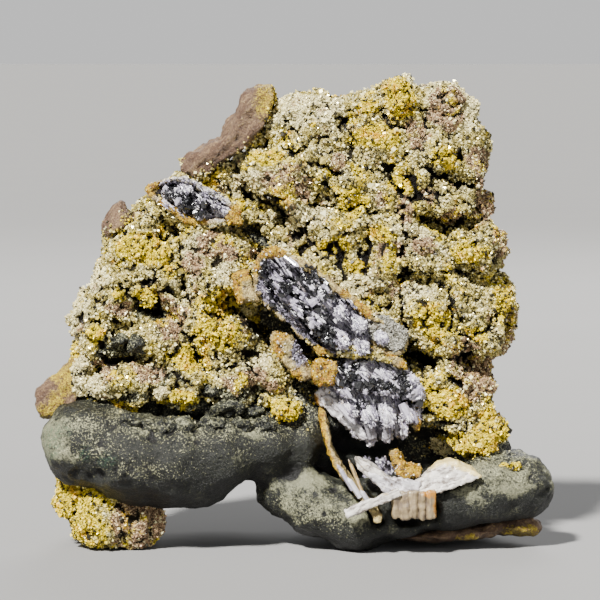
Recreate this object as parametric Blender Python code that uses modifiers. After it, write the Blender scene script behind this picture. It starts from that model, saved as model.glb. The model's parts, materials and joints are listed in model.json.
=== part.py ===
"""A cabinet-size pyrite specimen that stands on its own base.

A dark mudstone with two smooth rounded lobes along its foot carries a thick lumpy crust of fine pyrite. A diagonal
vein crosses the crust: a shell-like rind holds pale columnar crystals with black sphalerite on them, and white
blades cross below it, over a small cave.

+X is to the right of the crystal face, -Y is in front of it and +Z is up. The origin is on the ground, under the
middle of the specimen. Tables hold millimetres, and MM turns them into Blender's metres.
"""

import math
import random

import bmesh
import bpy
from mathutils import Matrix, Vector, noise

MM = 0.001

# Driving dimensions, in millimetres
GAP = 0.3  # between two neighbouring solids
INFLATE = 0.5  # how far a socket's cutter stands off its piece at a corner, which leaves about GAP on a flat side
CORE_TRIANGLES = 1300
CRUST_TRIANGLES = 1700
FOOT_TRIANGLES = 240
CAVE_TRIANGLES = 140
VOXEL = 1.3  # grid that lumps are fused on
VEIN_WALL, POCKET_WALL = 1.5, 0.8  # thickness of the rinds
RIND_TAPER = 0.72  # size of a rind's back outline over its front one
COLUMN_ROOT = 1.6  # how far a crystal column starts behind the bed's face

# The dark rock: (x, y, z, radius) along each rounded lobe, left to right
LEFT_LOBE = [
    (-45.5, -18.5, 23.5, 10.0),
    (-36.0, -20.0, 20.5, 10.4),
    (-31.0, -17.0, 18.5, 9.6),
    (-26.5, -20.5, 20.0, 9.8),
    (-22.0, -17.0, 17.5, 9.2),
    (-16.5, -20.0, 21.0, 8.6),
    (-7.0, -18.0, 22.5, 6.6),
    (1.0, -16.0, 22.0, 4.8),
]
RIGHT_LOBE = [
    (-3.0, -14.0, 12.5, 6.2),
    (4.5, -16.5, 9.5, 7.6),
    (13.5, -18.0, 7.4, 8.4),
    (23.0, -19.0, 9.5, 7.8),
    (33.0, -19.0, 11.5, 7.8),
    (42.0, -17.5, 13.0, 8.2),
    (49.0, -14.5, 13.5, 8.4),
]
# (centre, radii) of the masses behind the crust and over the ground
ROCK_MASSES = [
    ((-8.0, 9.0, 46.0), (40.0, 16.0, 35.0)),
    ((14.0, 8.0, 60.0), (31.0, 13.0, 38.0)),
    ((-6.0, 3.0, 26.0), (43.0, 20.0, 14.0)),
    ((28.0, 7.0, 14.0), (22.0, 17.0, 15.0)),
]
# (point, outward normal) of the old breaks across the back
BREAKS = [
    ((-10.0, 22.0, 40.0), (-0.25, 1.0, 0.10)),
    ((14.0, 17.0, 70.0), (0.20, 1.0, 0.34)),
    ((30.0, 16.0, 25.0), (0.62, 1.0, -0.10)),
    ((-34.0, 12.0, 30.0), (-1.0, 0.75, -0.12)),
    ((-24.0, 8.0, 72.0), (-0.80, 0.55, 0.70)),
]

# The crust's outline from the front, (x, z), from the left end of the lobes over the top to the right end
CRUST_EDGE = [
    (-47.5, 31.0), (-48.5, 38.0), (-48.5, 44.5), (-51.5, 49.5), (-49.0, 54.5), (-45.0, 60.0), (-43.0, 64.5),
    (-42.5, 71.0), (-39.5, 74.0), (-33.5, 75.0), (-32.5, 78.5), (-27.0, 80.5), (-22.0, 85.0), (-15.5, 88.0),
    (-10.0, 94.0), (-4.5, 97.5), (0.0, 99.5), (6.5, 101.0), (9.0, 98.5), (16.5, 100.5), (22.0, 104.0),
    (29.0, 101.0), (34.5, 102.0), (36.5, 99.5), (41.0, 97.0), (40.5, 92.0), (43.0, 91.0), (44.0, 84.0),
    (41.0, 77.5), (42.5, 70.5), (46.0, 67.5), (48.0, 64.5), (45.5, 60.0), (49.0, 55.0), (49.5, 50.0),
    (48.5, 43.5), (43.0, 40.0), (42.5, 35.5), (44.0, 33.0), (43.0, 29.0), (47.0, 26.0), (46.5, 20.0),
    (30.0, 14.0), (0.0, 18.0), (-30.0, 24.0),
]  # fmt: skip
CRUST_OPEN_EDGE = CRUST_EDGE[:-3]  # all of it but the foot, which the lobes hide
EDGE_FRONT, EDGE_MIDDLE, EDGE_BACK = -6.5, -1.5, 4.5  # y of the crust along that outline, widest in the middle
EDGE_TAPER = 0.94
EDGE_ROLL, EDGE_REACH = 5.0, 13.0  # how far the face falls back at the open edge, and from how far inside

# Lumps of the crust, (x, z, radius), on the face that face_y gives
PLATEAU_LUMPS = [
    (1.0, 93.5, 6.5), (12.0, 92.0, 7.0), (22.5, 98.0, 5.2), (33.5, 96.0, 6.0), (38.0, 90.0, 4.5),
    (19.0, 87.0, 6.4), (30.0, 84.5, 6.2), (38.5, 81.0, 4.6), (10.0, 80.5, 6.4), (1.0, 84.5, 6.0),
    (21.0, 76.5, 6.2), (33.5, 75.0, 5.4), (-7.5, 83.0, 4.6), (-2.0, 76.0, 5.4), (10.0, 70.0, 6.0),
    (22.0, 67.5, 5.5), (39.0, 64.5, 6.0), (29.5, 63.0, 5.0), (19.0, 60.5, 5.0), (44.0, 53.5, 4.6),
    (34.0, 54.5, 6.2), (26.5, 51.0, 5.4), (41.0, 47.5, 5.6), (33.0, 45.0, 4.6), (34.0, 37.0, 5.4),
    (38.5, 31.5, 5.2), (30.5, 29.5, 3.6), (38.0, 24.0, 5.0), (43.5, 25.0, 4.0),
]  # fmt: skip
MOUND_LUMPS = [
    (-35.0, 65.0, 6.0), (-19.5, 67.0, 6.6), (-39.0, 55.5, 6.0), (-44.0, 50.0, 5.2), (-31.0, 57.5, 4.6),
    (-19.5, 56.5, 5.0), (-16.5, 46.5, 6.4), (-28.5, 45.0, 6.2), (-42.0, 43.5, 5.0), (-36.0, 37.0, 6.2),
    (-25.0, 36.0, 6.0), (-14.0, 35.5, 6.0), (-5.0, 37.5, 5.0), (-2.0, 31.5, 4.0), (-12.0, 50.0, 4.5),
    (-38.0, 71.0, 3.8), (-28.0, 71.5, 4.6), (-8.0, 58.0, 4.4),
]  # fmt: skip
CRUST_MASSES = [  # (centre, radii) of what fills the crust behind its lumps
    ((20.0, -4.0, 62.0), (24.0, 9.0, 38.0)),
    ((-22.0, -5.0, 50.0), (24.0, 12.0, 24.0)),
    ((20.0, -5.0, 34.0), (25.0, 10.0, 14.0)),
]
LUMP_FLATNESS = 0.8  # a lump's depth over its radius
LUMP_SINK = 0.3  # share of its radius by which a lump's centre lies behind the face

# Crevices in the crust: path of (x, z), width, depth
CREVICES = [
    ([(-18.0, 72.0), (-11.0, 69.5), (-7.0, 66.5)], 4.6, 6.0),
    ([(-11.0, 77.5), (-6.0, 74.5), (-2.0, 71.5)], 3.0, 4.5),
    ([(-29.0, 71.0), (-25.0, 68.5)], 3.2, 4.5),
    ([(27.0, 72.0), (32.0, 70.5), (38.0, 70.5)], 4.0, 5.5),
    ([(31.5, 81.5), (38.5, 80.0)], 3.0, 4.0),
    ([(35.0, 61.0), (43.5, 58.5)], 3.2, 4.5),
    ([(22.5, 60.0), (31.5, 58.0)], 3.0, 4.0),
    ([(5.5, 76.0), (11.0, 74.5)], 2.6, 3.0),
    ([(6.5, 84.5), (9.0, 79.0)], 2.6, 3.0),
    ([(36.0, 41.0), (41.5, 38.5)], 3.6, 4.0),
    ([(24.5, 43.5), (29.5, 41.0)], 5.0, 7.0),
    ([(-31.0, 55.0), (-24.5, 49.0), (-20.0, 40.0)], 2.4, 3.0),
    ([(-35.0, 53.0), (-28.0, 49.5)], 3.2, 4.0),
    ([(-42.0, 41.5), (-33.0, 41.0)], 3.0, 3.5),
    ([(-25.0, 59.0), (-23.0, 54.0)], 3.0, 4.0),
    ([(-14.5, 54.0), (-7.0, 50.0), (1.0, 45.5)], 6.0, 7.0),
    ([(-38.0, 29.5), (-20.0, 28.5), (-4.0, 27.5)], 3.4, 3.5),
]
CAVE = [  # (centre, radii) of the hollows under the lower crystals
    ((18.0, -16.0, 22.5), (11.5, 10.5, 5.6)),
    ((29.0, -14.0, 24.0), (6.0, 7.0, 3.8)),
]

# The granular foot under the left lobe: (centre, radii)
FOOT_MASSES = [
    ((-41.0, -15.0, 5.5), (9.0, 8.0, 6.4)),
    ((-47.5, -13.0, 10.0), (6.0, 7.0, 5.0)),
    ((-34.5, -15.5, 4.5), (6.5, 6.5, 5.2)),
    ((-40.0, -3.0, 6.5), (11.0, 13.0, 8.0)),
]

# Brown rind, each plate an outline of (x, z) and its front and back y
RIND_TOP = [
    (-5.0, 96.0), (-4.6, 100.0), (-6.0, 101.8), (-8.5, 101.4), (-10.5, 99.0), (-12.5, 94.5), (-16.0, 90.0),
    (-20.0, 87.0), (-23.0, 86.0), (-25.0, 83.0), (-21.0, 81.5), (-15.0, 84.5), (-10.0, 88.0), (-6.5, 92.0),
]  # fmt: skip
RIND_LEFT = [
    (-48.0, 45.5), (-49.6, 42.0), (-50.8, 38.5), (-55.0, 35.8), (-58.0, 33.6), (-57.0, 31.0), (-56.4, 28.0),
    (-52.0, 29.0), (-48.0, 31.5), (-44.0, 38.0), (-44.5, 44.0),
]  # fmt: skip
SHOULDER_LUMPS = [
    ((-38.6, -8.0, 71.5), (4.2, 5.0, 4.0)),
    ((-35.4, -5.0, 70.0), (4.4, 4.6, 3.6)),
]
FLAKES = [  # (centre, radii) of the thin plates under the right lobe
    ((29.0, -14.0, 2.9), (8.0, 7.5, 1.4)),
    ((39.0, -13.0, 3.4), (7.5, 7.5, 1.6)),
    ((48.0, -12.0, 4.4), (6.5, 7.0, 2.2)),
]

# The main vein's rind from the front, (x, z)
VEIN_RIM = [
    (-9.0, 61.0), (-7.5, 65.0), (-5.0, 66.8), (-1.5, 65.8), (4.0, 62.0), (8.0, 58.6), (13.0, 55.6),
    (17.0, 52.6), (21.5, 50.6), (25.0, 47.0), (24.2, 43.6), (22.4, 41.0), (18.0, 41.6), (12.0, 42.2),
    (5.0, 42.8), (2.2, 46.0), (-1.5, 49.6), (-6.0, 53.2), (-8.4, 57.0),
]  # fmt: skip
VEIN_FRONT, VEIN_BED, VEIN_BACK = -17.8, -15.0, -9.0  # y of the rind's edge, of the bed in it and of its back
# The lower mass of columns
LOWER_RIM = [
    (6.5, 40.6), (12.0, 41.4), (18.0, 40.8), (23.5, 40.2), (27.0, 37.0), (28.8, 33.0), (27.0, 28.5),
    (22.0, 26.0), (15.5, 26.0), (10.5, 28.0), (6.5, 32.5), (5.6, 37.0),
]  # fmt: skip
LOWER_BED, LOWER_BACK = -15.5, -5.0
# The small pocket near the left shoulder
POCKET_RIM = [
    (-33.0, 78.6), (-30.0, 80.6), (-24.0, 81.4), (-20.0, 79.2), (-16.5, 77.4), (-12.5, 75.6), (-11.5, 73.4),
    (-14.0, 70.6), (-19.0, 70.2), (-23.5, 71.4), (-27.0, 73.8), (-30.5, 76.0),
]  # fmt: skip
POCKET_FRONT, POCKET_BED, POCKET_BACK = -13.6, -11.6, -4.5

# Crystal columns: where each stands, (x, z), its direction (x, y, z), length and radius
VEIN_COLUMNS = [
    ((-6.0, 62.0), (0.30, -0.90, -0.25), 6.5, 1.7),
    ((-4.0, 58.5), (0.32, -0.88, -0.30), 7.0, 1.8),
    ((-2.0, 63.0), (0.20, -0.95, -0.15), 6.0, 1.6),
    ((-1.5, 55.0), (0.40, -0.82, -0.40), 7.5, 1.9),
    ((1.5, 60.0), (0.25, -0.92, -0.28), 7.0, 2.0),
    ((2.5, 52.0), (0.42, -0.80, -0.42), 7.5, 1.9),
    ((5.0, 56.5), (0.30, -0.90, -0.30), 7.0, 2.1),
    ((5.5, 48.5), (0.35, -0.85, -0.38), 6.5, 1.8),
    ((9.0, 53.0), (0.25, -0.93, -0.25), 6.0, 2.0),
    ((9.5, 47.0), (0.22, -0.90, -0.35), 6.0, 2.0),
    ((13.5, 50.0), (0.20, -0.95, -0.20), 5.5, 1.9),
    ((14.5, 45.5), (0.15, -0.92, -0.35), 5.5, 1.8),
    ((18.5, 47.0), (0.25, -0.93, -0.20), 5.0, 1.8),
]
LOWER_COLUMNS = [
    ((9.0, 38.0), (0.30, -0.80, -0.50), 7.0, 1.7),
    ((11.0, 34.0), (0.25, -0.72, -0.62), 7.5, 1.8),
    ((14.0, 38.0), (0.25, -0.85, -0.45), 6.5, 1.8),
    ((15.5, 33.0), (0.15, -0.70, -0.70), 7.5, 1.9),
    ((19.0, 37.5), (0.20, -0.88, -0.40), 6.5, 1.9),
    ((20.0, 32.0), (0.10, -0.70, -0.70), 7.0, 1.8),
    ((23.5, 36.5), (0.28, -0.88, -0.35), 6.0, 1.8),
    ((24.5, 31.5), (0.15, -0.80, -0.60), 6.0, 1.7),
    ((13.0, 29.0), (0.12, -0.35, -0.93), 5.5, 1.6),
    ((16.5, 28.5), (0.02, -0.30, -0.95), 6.5, 1.7),
    ((20.0, 28.5), (0.04, -0.28, -0.96), 6.0, 1.6),
    ((23.5, 28.5), (0.06, -0.30, -0.95), 5.0, 1.6),
    ((26.0, 31.0), (0.20, -0.35, -0.90), 4.6, 1.6),
]
POCKET_COLUMNS = [
    ((-28.0, 78.0), (0.45, -0.80, -0.30), 4.6, 1.3),
    ((-25.5, 76.0), (0.45, -0.80, -0.35), 5.0, 1.3),
    ((-24.5, 79.0), (0.40, -0.85, -0.20), 4.6, 1.4),
    ((-22.0, 74.0), (0.45, -0.78, -0.38), 4.8, 1.3),
    ((-21.0, 77.0), (0.40, -0.85, -0.20), 4.6, 1.4),
    ((-18.0, 75.5), (0.30, -0.90, -0.20), 4.2, 1.4),
    ((-15.5, 74.0), (0.20, -0.95, -0.10), 3.8, 1.4),
]
# Columns on a bed on the cave's floor
CAVE_FLOOR = [((20.5, -13.5, 15.5), (5.5, 5.0, 2.4))]
CAVE_BED = -15.0
CAVE_COLUMNS = [
    ((17.0, 15.5), (-0.20, -0.55, 0.80), 6.0, 1.4),
    ((19.5, 15.0), (0.00, -0.55, 0.82), 6.5, 1.5),
    ((22.0, 15.5), (0.15, -0.55, 0.80), 5.5, 1.4),
    ((24.0, 16.0), (0.25, -0.50, 0.80), 4.6, 1.3),
]

# Black crystals in patches: (x, z, radius) of each, on a shared bed that lies on the columns
VEIN_BLACK = [
    (0.6, 57.4, 1.7), (3.8, 58.0, 2.2), (3.0, 55.2, 1.7), (6.8, 55.8, 2.1), (6.0, 52.4, 1.8), (5.4, 48.8, 1.8),
    (7.8, 47.4, 1.8),
]  # fmt: skip
LOWER_BLACK = [
    (12.6, 37.6, 1.6), (15.4, 36.2, 1.8), (18.4, 36.0, 1.8), (21.4, 35.4, 1.6), (25.6, 37.0, 1.7),
    (27.0, 34.4, 1.6),
]  # fmt: skip
POCKET_BLACK = [(-26.0, 77.2, 1.5), (-23.8, 75.8, 1.6), (-21.4, 74.4, 1.5)]

# Flat pieces: outline of (x, z), front y, back y, and how far they lean back for each millimetre up
VEIN_FLAP = ([(-13.6, 60.0), (-9.6, 61.4), (-8.9, 57.6), (-7.6, 54.4), (-12.2, 54.0), (-13.0, 57.0)], -17.4, -9.0, 0.0)
SIDE_SHELL = (
    [(-4.5, 47.5), (-1.0, 47.0), (1.0, 43.5), (4.0, 38.5), (2.2, 37.0), (-0.5, 39.0), (-3.4, 42.5), (-5.0, 45.0)],
    -20.5, -11.0, 0.0,
)  # fmt: skip
OCHRE_BLOCK = ([(4.6, 41.8), (9.2, 41.4), (8.4, 36.8), (5.0, 36.2), (3.9, 39.0)], -21.5, -9.0, 0.0)
THIN_WALL = (
    [(5.6, 31.0), (7.6, 30.6), (8.9, 23.6), (11.4, 18.4), (14.4, 14.8), (17.2, 11.6), (19.4, 7.6), (18.7, 5.8),
     (16.9, 6.2), (15.6, 10.0), (12.6, 13.6), (9.6, 17.0), (7.0, 22.6), (5.8, 27.0)],
    -28.6, -21.0, 0.33,
)  # fmt: skip
CROSS_BLADE = ([(10.6, 10.6), (22.4, 15.4), (23.0, 13.6), (11.2, 8.6)], -30.3, -29.0, 0.08)
STEM_BLADE = ([(13.2, 21.4), (15.6, 20.6), (22.2, 15.9), (20.6, 14.4), (17.4, 16.0), (13.6, 19.2)], -27.8, -22.8, 0.1)
WING_BLADE = (
    [(22.6, 14.3), (26.5, 16.2), (30.5, 19.6), (34.0, 20.6), (37.0, 19.6), (40.6, 17.4), (36.0, 15.4),
     (31.0, 14.0), (25.0, 12.4), (22.8, 12.7)],
    -28.4, -23.6, 0.45,
)  # fmt: skip
ORANGE_WALL = ([(20.9, 21.4), (22.4, 21.8), (24.4, 18.9), (27.6, 18.2), (27.2, 16.9), (23.4, 16.6), (21.6, 18.4)], -24.0, -15.0, 0.0)
# The fluted block under the wing: (left x, right x), (bottom z, top z), (front y, back y)
FLUTED = ((21.6, 31.0), (6.6, 12.0), (-29.2, -22.0))
FLUTES = 5

# Finish of each mineral: colour, roughness, metallic
MINERALS = {
    "mudstone": ((0.055, 0.062, 0.05), 0.55, 0.0),
    "pyrite": ((0.42, 0.33, 0.13), 0.45, 0.6),
    "brown_rind": ((0.23, 0.13, 0.085), 0.65, 0.0),
    "stained_rind": ((0.55, 0.32, 0.12), 0.6, 0.0),
    "white_crystal": ((0.66, 0.64, 0.68), 0.3, 0.0),
    "black_crystal": ((0.012, 0.012, 0.015), 0.18, 0.0),
}


def vec(x, y, z):
    return Vector((x, y, z)) * MM


# Blender housekeeping


def clear_scene():
    for obj in list(bpy.data.objects):
        bpy.data.objects.remove(obj)


def collection(name):
    made = bpy.data.collections.new(name)
    bpy.context.scene.collection.children.link(made)
    return made


def material(name, colour, roughness, metallic=0.0):
    mat = bpy.data.materials.new(name)
    mat.use_nodes = True
    shader = mat.node_tree.nodes["Principled BSDF"]
    shader.inputs["Base Color"].default_value = (*colour, 1.0)
    shader.inputs["Roughness"].default_value = roughness
    shader.inputs["Metallic"].default_value = metallic
    return mat


def object_from(bm, name):
    """An object that holds what bm holds, facing out."""
    bmesh.ops.triangulate(bm, faces=bm.faces)
    bmesh.ops.recalc_face_normals(bm, faces=bm.faces)
    mesh = bpy.data.meshes.new(name)
    bm.to_mesh(mesh)
    bm.free()
    obj = bpy.data.objects.new(name, mesh)
    bpy.context.scene.collection.objects.link(obj)
    return obj


def mesh_of(*objects):
    bm = bmesh.new()
    for obj in objects:
        bm.from_mesh(obj.data)
    return bm


def store(bm, obj):
    bm.to_mesh(obj.data)
    bm.free()
    return obj


def discard(*objects):
    for obj in objects:
        bpy.data.objects.remove(obj)


def settle(obj):
    """Applies the object's modifiers."""
    bpy.context.view_layer.update()
    graph = bpy.context.evaluated_depsgraph_get()
    mesh = bpy.data.meshes.new_from_object(obj.evaluated_get(graph))
    obj.modifiers.clear()
    obj.data = mesh
    return obj


# Tools for the solids


def boolean(obj, other, operation, solver="EXACT"):
    step = obj.modifiers.new(operation.lower(), "BOOLEAN")
    step.solver = solver
    step.operation = operation
    step.object = other
    return settle(obj)


def keep_largest(obj):
    """Removes every island of the mesh but the one with the most corners."""
    bm = mesh_of(obj)
    bmesh.ops.triangulate(bm, faces=bm.faces)
    waiting, islands = set(bm.verts), []
    while waiting:
        reached = [waiting.pop()]
        for vert in reached:
            found = {edge.other_vert(vert) for edge in vert.link_edges} & waiting
            waiting -= found
            reached.extend(found)
        islands.append(reached)
    islands.sort(key=len)
    spare = [vert for island in islands[:-1] for vert in island]
    bmesh.ops.delete(bm, geom=spare, context="VERTS")
    return store(bm, obj)


def cut(obj, cutter):
    """Cuts with MANIFOLD, because a socket's skin may cross itself in a tight corner, which EXACT can't take."""
    return keep_largest(boolean(obj, cutter, "DIFFERENCE", "MANIFOLD"))


def inflated(obj, distance):
    """A copy of obj whose corners stand out by distance."""
    bm = mesh_of(obj)
    bm.normal_update()
    for vert, normal in [(vert, vert.normal.copy()) for vert in bm.verts]:
        vert.co += normal * distance * MM
    return object_from(bm, obj.name + "_socket")


def box(*objects):
    """Lowest and highest corner of the objects' meshes."""
    corners = [vert.co for obj in objects for vert in obj.data.vertices]
    ends = [(min(corner[i] for corner in corners), max(corner[i] for corner in corners)) for i in range(3)]
    return Vector([low for low, high in ends]), Vector([high for low, high in ends])


def boxes_meet(a, b):
    (low_a, high_a), (low_b, high_b) = box(a), box(b)
    return all(max(low_a[i], low_b[i]) - GAP * MM < min(high_a[i], high_b[i]) for i in range(3))


def ellipsoids(name, masses, subdivisions=3):
    """Overlapping ellipsoids, each (centre, radii)."""
    bm = bmesh.new()
    for centre, radii in masses:
        place = Matrix.Translation(vec(*centre)) @ Matrix.Diagonal((*vec(*radii), 1.0))
        bmesh.ops.create_icosphere(bm, subdivisions=subdivisions, radius=1.0, matrix=place)
    return object_from(bm, name)


def plate(name, outline, front, back, lean=0.0, taper=1.0):
    """A flat piece with this outline of (x, z), from front y to back y, where it is taper times as large."""
    bm = bmesh.new()
    face = bm.faces.new([bm.verts.new(vec(x, front, z)) for x, z in outline])
    middle = face.calc_center_median()
    far = bmesh.ops.extrude_face_region(bm, geom=[face])["geom"]
    for vert in [item for item in far if isinstance(item, bmesh.types.BMVert)]:
        vert.co = middle + (vert.co - middle) * taper
        vert.co.y = back * MM
    lowest = min(z for x, z in outline) * MM
    for vert in bm.verts:
        vert.co.y += (vert.co.z - lowest) * lean
    return object_from(bm, name)


def inset(outline, distance):
    """The outline, whose points run clockwise, moved inwards by distance."""
    moved = []
    for i, (x, z) in enumerate(outline):
        (ax, az), (bx, bz) = outline[i - 1], outline[(i + 1) % len(outline)]
        along = Vector((bx - ax, bz - az)).normalized()
        moved.append((x + along.y * distance, z - along.x * distance))
    return moved


def join(*objects):
    """Puts all the meshes in the first object."""
    joined = store(mesh_of(*objects), objects[0])
    discard(*objects[1:])
    return joined


def fuse(obj, voxel, rounds):
    """Turns overlapping shapes into one skin, rounded where they meet."""
    remesh = obj.modifiers.new("fuse", "REMESH")
    remesh.mode = "VOXEL"
    remesh.voxel_size = voxel * MM
    smooth = obj.modifiers.new("round", "SMOOTH")
    smooth.factor = 0.5
    smooth.iterations = rounds
    return keep_largest(settle(obj))


def roughen(obj, size, depth, seed=0.0, share=lambda place: 1.0):
    """Moves the skin in and out by up to depth, in swells of about size, by share(place) of it at a place in mm."""
    bm = mesh_of(obj)
    bm.normal_update()
    moves = []
    for vert in bm.verts:
        place = vert.co / MM
        swell = noise.fractal(place / size + Vector((seed, 0, 0)), 0.9, 2.0, 2)
        moves.append(vert.normal * swell * depth * share(place) * MM)
    for vert, move in zip(bm.verts, moves):
        vert.co += move
    return store(bm, obj)


def thin(obj, triangles):
    """Reduces the mesh to about this many triangles."""
    step = obj.modifiers.new("thin", "DECIMATE")
    step.ratio = triangles / sum(len(face.vertices) - 2 for face in obj.data.polygons)
    return settle(obj)


def slice_off(obj, point, normal):
    """Cuts away what lies past a plane, and closes the cut with a flat face."""
    bm = mesh_of(obj)
    geometry = bm.verts[:] + bm.edges[:] + bm.faces[:]
    bmesh.ops.bisect_plane(bm, geom=geometry, plane_co=vec(*point), plane_no=normal, clear_outer=True)
    bmesh.ops.holes_fill(bm, edges=[edge for edge in bm.edges if edge.is_boundary])
    bmesh.ops.triangulate(bm, faces=bm.faces)
    bmesh.ops.recalc_face_normals(bm, faces=bm.faces)
    return keep_largest(store(bm, obj))


# The rock and the crust


def host_rock():
    mass = fuse(ellipsoids("rock_masses", ROCK_MASSES, 4), VOXEL, 2)
    for point, normal in BREAKS:
        slice_off(mass, point, normal)
    lobes = [((x, y, z), (r, r, r)) for x, y, z, r in LEFT_LOBE + RIGHT_LOBE]
    rock = fuse(join(ellipsoids("host_rock", lobes), mass), VOXEL, 7)
    roughen(rock, 9.0, 1.6, share=lambda place: 0.25 if place.y < -6.0 else 1.0)
    return slice_off(thin(rock, CORE_TRIANGLES), (0, 0, 0), (0, 0, -1))


def distance_to(path, x, z):
    """From the point (x, z) to the nearest stretch of path."""
    place, nearest = Vector((x, z)), math.inf
    for a, b in zip(path, path[1:]):
        start, run = Vector(a), Vector(b) - Vector(a)
        along = max(0.0, min(1.0, (place - start).dot(run) / run.length_squared))
        nearest = min(nearest, (place - start - run * along).length)
    return nearest


def face_y(x, z):
    """y of the crust's front face. It swells further forward left of the vein, and rolls back to its open edge."""
    plateau = -9.5 - (100.0 - z) * 0.085
    mound = -12.0 - (75.0 - z) * 0.17
    vein_x = 22.0 - 0.72 * z
    share = max(0.0, min(1.0, (vein_x - x) / 12.0 + 0.5 + (z - 45.0) * 0.012))
    roll = max(0.0, 1.0 - distance_to(CRUST_OPEN_EDGE, x, z) / EDGE_REACH) ** 2
    return plateau * (1 - share) + mound * share + EDGE_ROLL * roll


def lump(x, z, radius):
    centre = (x, face_y(x, z) + radius * LUMP_SINK, z)
    return centre, (radius, radius * LUMP_FLATNESS, radius)


def open_crevices(obj):
    """Presses the crust's front face back along each crevice."""
    for vert in obj.data.vertices:
        x, y, z = vert.co / MM
        if y > EDGE_FRONT + 1.0:
            continue
        wander = noise.noise(Vector((x, y, z)) / 3.0) * 0.8
        presses = [
            depth * min(1.0, 1.6 * (1.0 - distance_to(path, x, z) / (width / 2 + wander + 0.6)))
            for path, width, depth in CREVICES
        ]
        vert.co.y += max(0.0, *presses) * MM
    return obj


def pyrite_crust():
    back = plate("pyrite_crust", CRUST_EDGE, EDGE_MIDDLE - 0.5, EDGE_BACK, taper=EDGE_TAPER)
    front = plate("front", CRUST_EDGE, EDGE_MIDDLE + 0.5, EDGE_FRONT, taper=EDGE_TAPER)
    lumps = ellipsoids("lumps", [lump(*at) for at in PLATEAU_LUMPS + MOUND_LUMPS], 2)
    crust = open_crevices(fuse(join(back, front, lumps, ellipsoids("fill", CRUST_MASSES)), VOXEL, 2))
    roughen(crust, 5.0, 1.5)
    return thin(crust, CRUST_TRIANGLES)


def pyrite_foot():
    foot = fuse(ellipsoids("pyrite_foot", FOOT_MASSES), VOXEL, 2)
    return slice_off(thin(roughen(foot, 4.0, 1.3, 7.0), FOOT_TRIANGLES), (0, 0, 0), (0, 0, -1))


def worn_plate(name, outline, front, back, triangles):
    return thin(roughen(fuse(plate(name, outline, front, back), 1.0, 4), 5.0, 0.9), triangles)


def worn_masses(name, masses, triangles):
    return thin(roughen(fuse(ellipsoids(name, masses), 0.9, 3), 4.0, 0.7), triangles)


# The crystals


def column(foot, direction, length, radius):
    """A six-sided crystal with a pointed end, from a little behind foot."""
    direction = Vector(direction).normalized()
    turn = direction.to_track_quat("Z", "X").to_matrix().to_4x4()
    middle = Vector(foot) + direction * (length / 2 - COLUMN_ROOT)
    bm = bmesh.new()
    bmesh.ops.create_cone(
        bm,
        cap_ends=True,
        segments=6,
        radius1=radius * MM,
        radius2=radius * 0.85 * MM,
        depth=length * MM,
        matrix=Matrix.Translation(middle * MM) @ turn,
    )
    bm.normal_update()
    top = max(bm.faces, key=lambda face: face.normal.dot(direction))
    bmesh.ops.poke(bm, faces=[top], offset=radius * 0.9 * MM)
    return object_from(bm, "column")


def block(x, y, z, size, rng):
    """A blocky crystal, turned at random."""
    axis = Vector((rng.uniform(-1, 1), rng.uniform(-1, 1), rng.uniform(-1, 1)))
    turn = Matrix.Rotation(rng.uniform(0, math.tau), 4, axis)
    bm = bmesh.new()
    bmesh.ops.create_cube(bm, size=size * MM, matrix=Matrix.Translation(vec(x, y, z)) @ turn)
    return object_from(bm, "block")


def grow(bed, crystals):
    """Joins crystals to the bed that they stand on."""
    for crystal in crystals:
        boolean(bed, crystal, "UNION")
    discard(*crystals)
    bm = mesh_of(bed)
    bmesh.ops.dissolve_limit(bm, angle_limit=math.radians(1.0), verts=bm.verts, edges=bm.edges)
    return keep_largest(store(bm, bed))


def columns(places, y):
    """Columns that stand on a bed whose face is at y."""
    return [column((x, y, z), direction, length, radius) for (x, z), direction, length, radius in places]


def blocks(places, y):
    """Black blocks, each centred at y."""
    rng = random.Random(len(places))
    return [block(x, y, z, size * 1.45, rng) for x, z, size in places]


def hollow_rind(name, rim, wall, front, back):
    """A vein's rind, open at the front, and its outer form, which the crust makes room for."""
    room = plate(name + "_room", rim, front, back, taper=RIND_TAPER)
    rind = plate(name, rim, front, back, taper=RIND_TAPER)
    hollow = plate("hollow", inset(rim, wall), front - 2.0, back - wall, taper=RIND_TAPER)
    cut(rind, hollow)
    discard(hollow)
    return rind, room


def bed_in(name, rim, wall, front, back):
    """The bed of crystals that fills a rind."""
    return plate(name, inset(rim, wall + 2 * GAP), front, back - wall - 3 * GAP, taper=RIND_TAPER)


def vein_crystals():
    bed = bed_in("vein_crystals", VEIN_RIM, VEIN_WALL, VEIN_BED, VEIN_BACK)
    return grow(bed, columns(VEIN_COLUMNS, VEIN_BED) + blocks(VEIN_BLACK, VEIN_BED - 3.0))


def lower_crystals():
    bed = plate("lower_crystals", LOWER_RIM, LOWER_BED, LOWER_BACK)
    return grow(bed, columns(LOWER_COLUMNS, LOWER_BED) + blocks(LOWER_BLACK, LOWER_BED - 3.0))


def pocket_crystals():
    bed = bed_in("pocket_crystals", POCKET_RIM, POCKET_WALL, POCKET_BED, POCKET_BACK)
    return grow(bed, columns(POCKET_COLUMNS, POCKET_BED) + blocks(POCKET_BLACK, POCKET_BED - 1.2))


def cave_crystals():
    return grow(ellipsoids("cave_crystals", CAVE_FLOOR, 2), columns(CAVE_COLUMNS, CAVE_BED))


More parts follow.
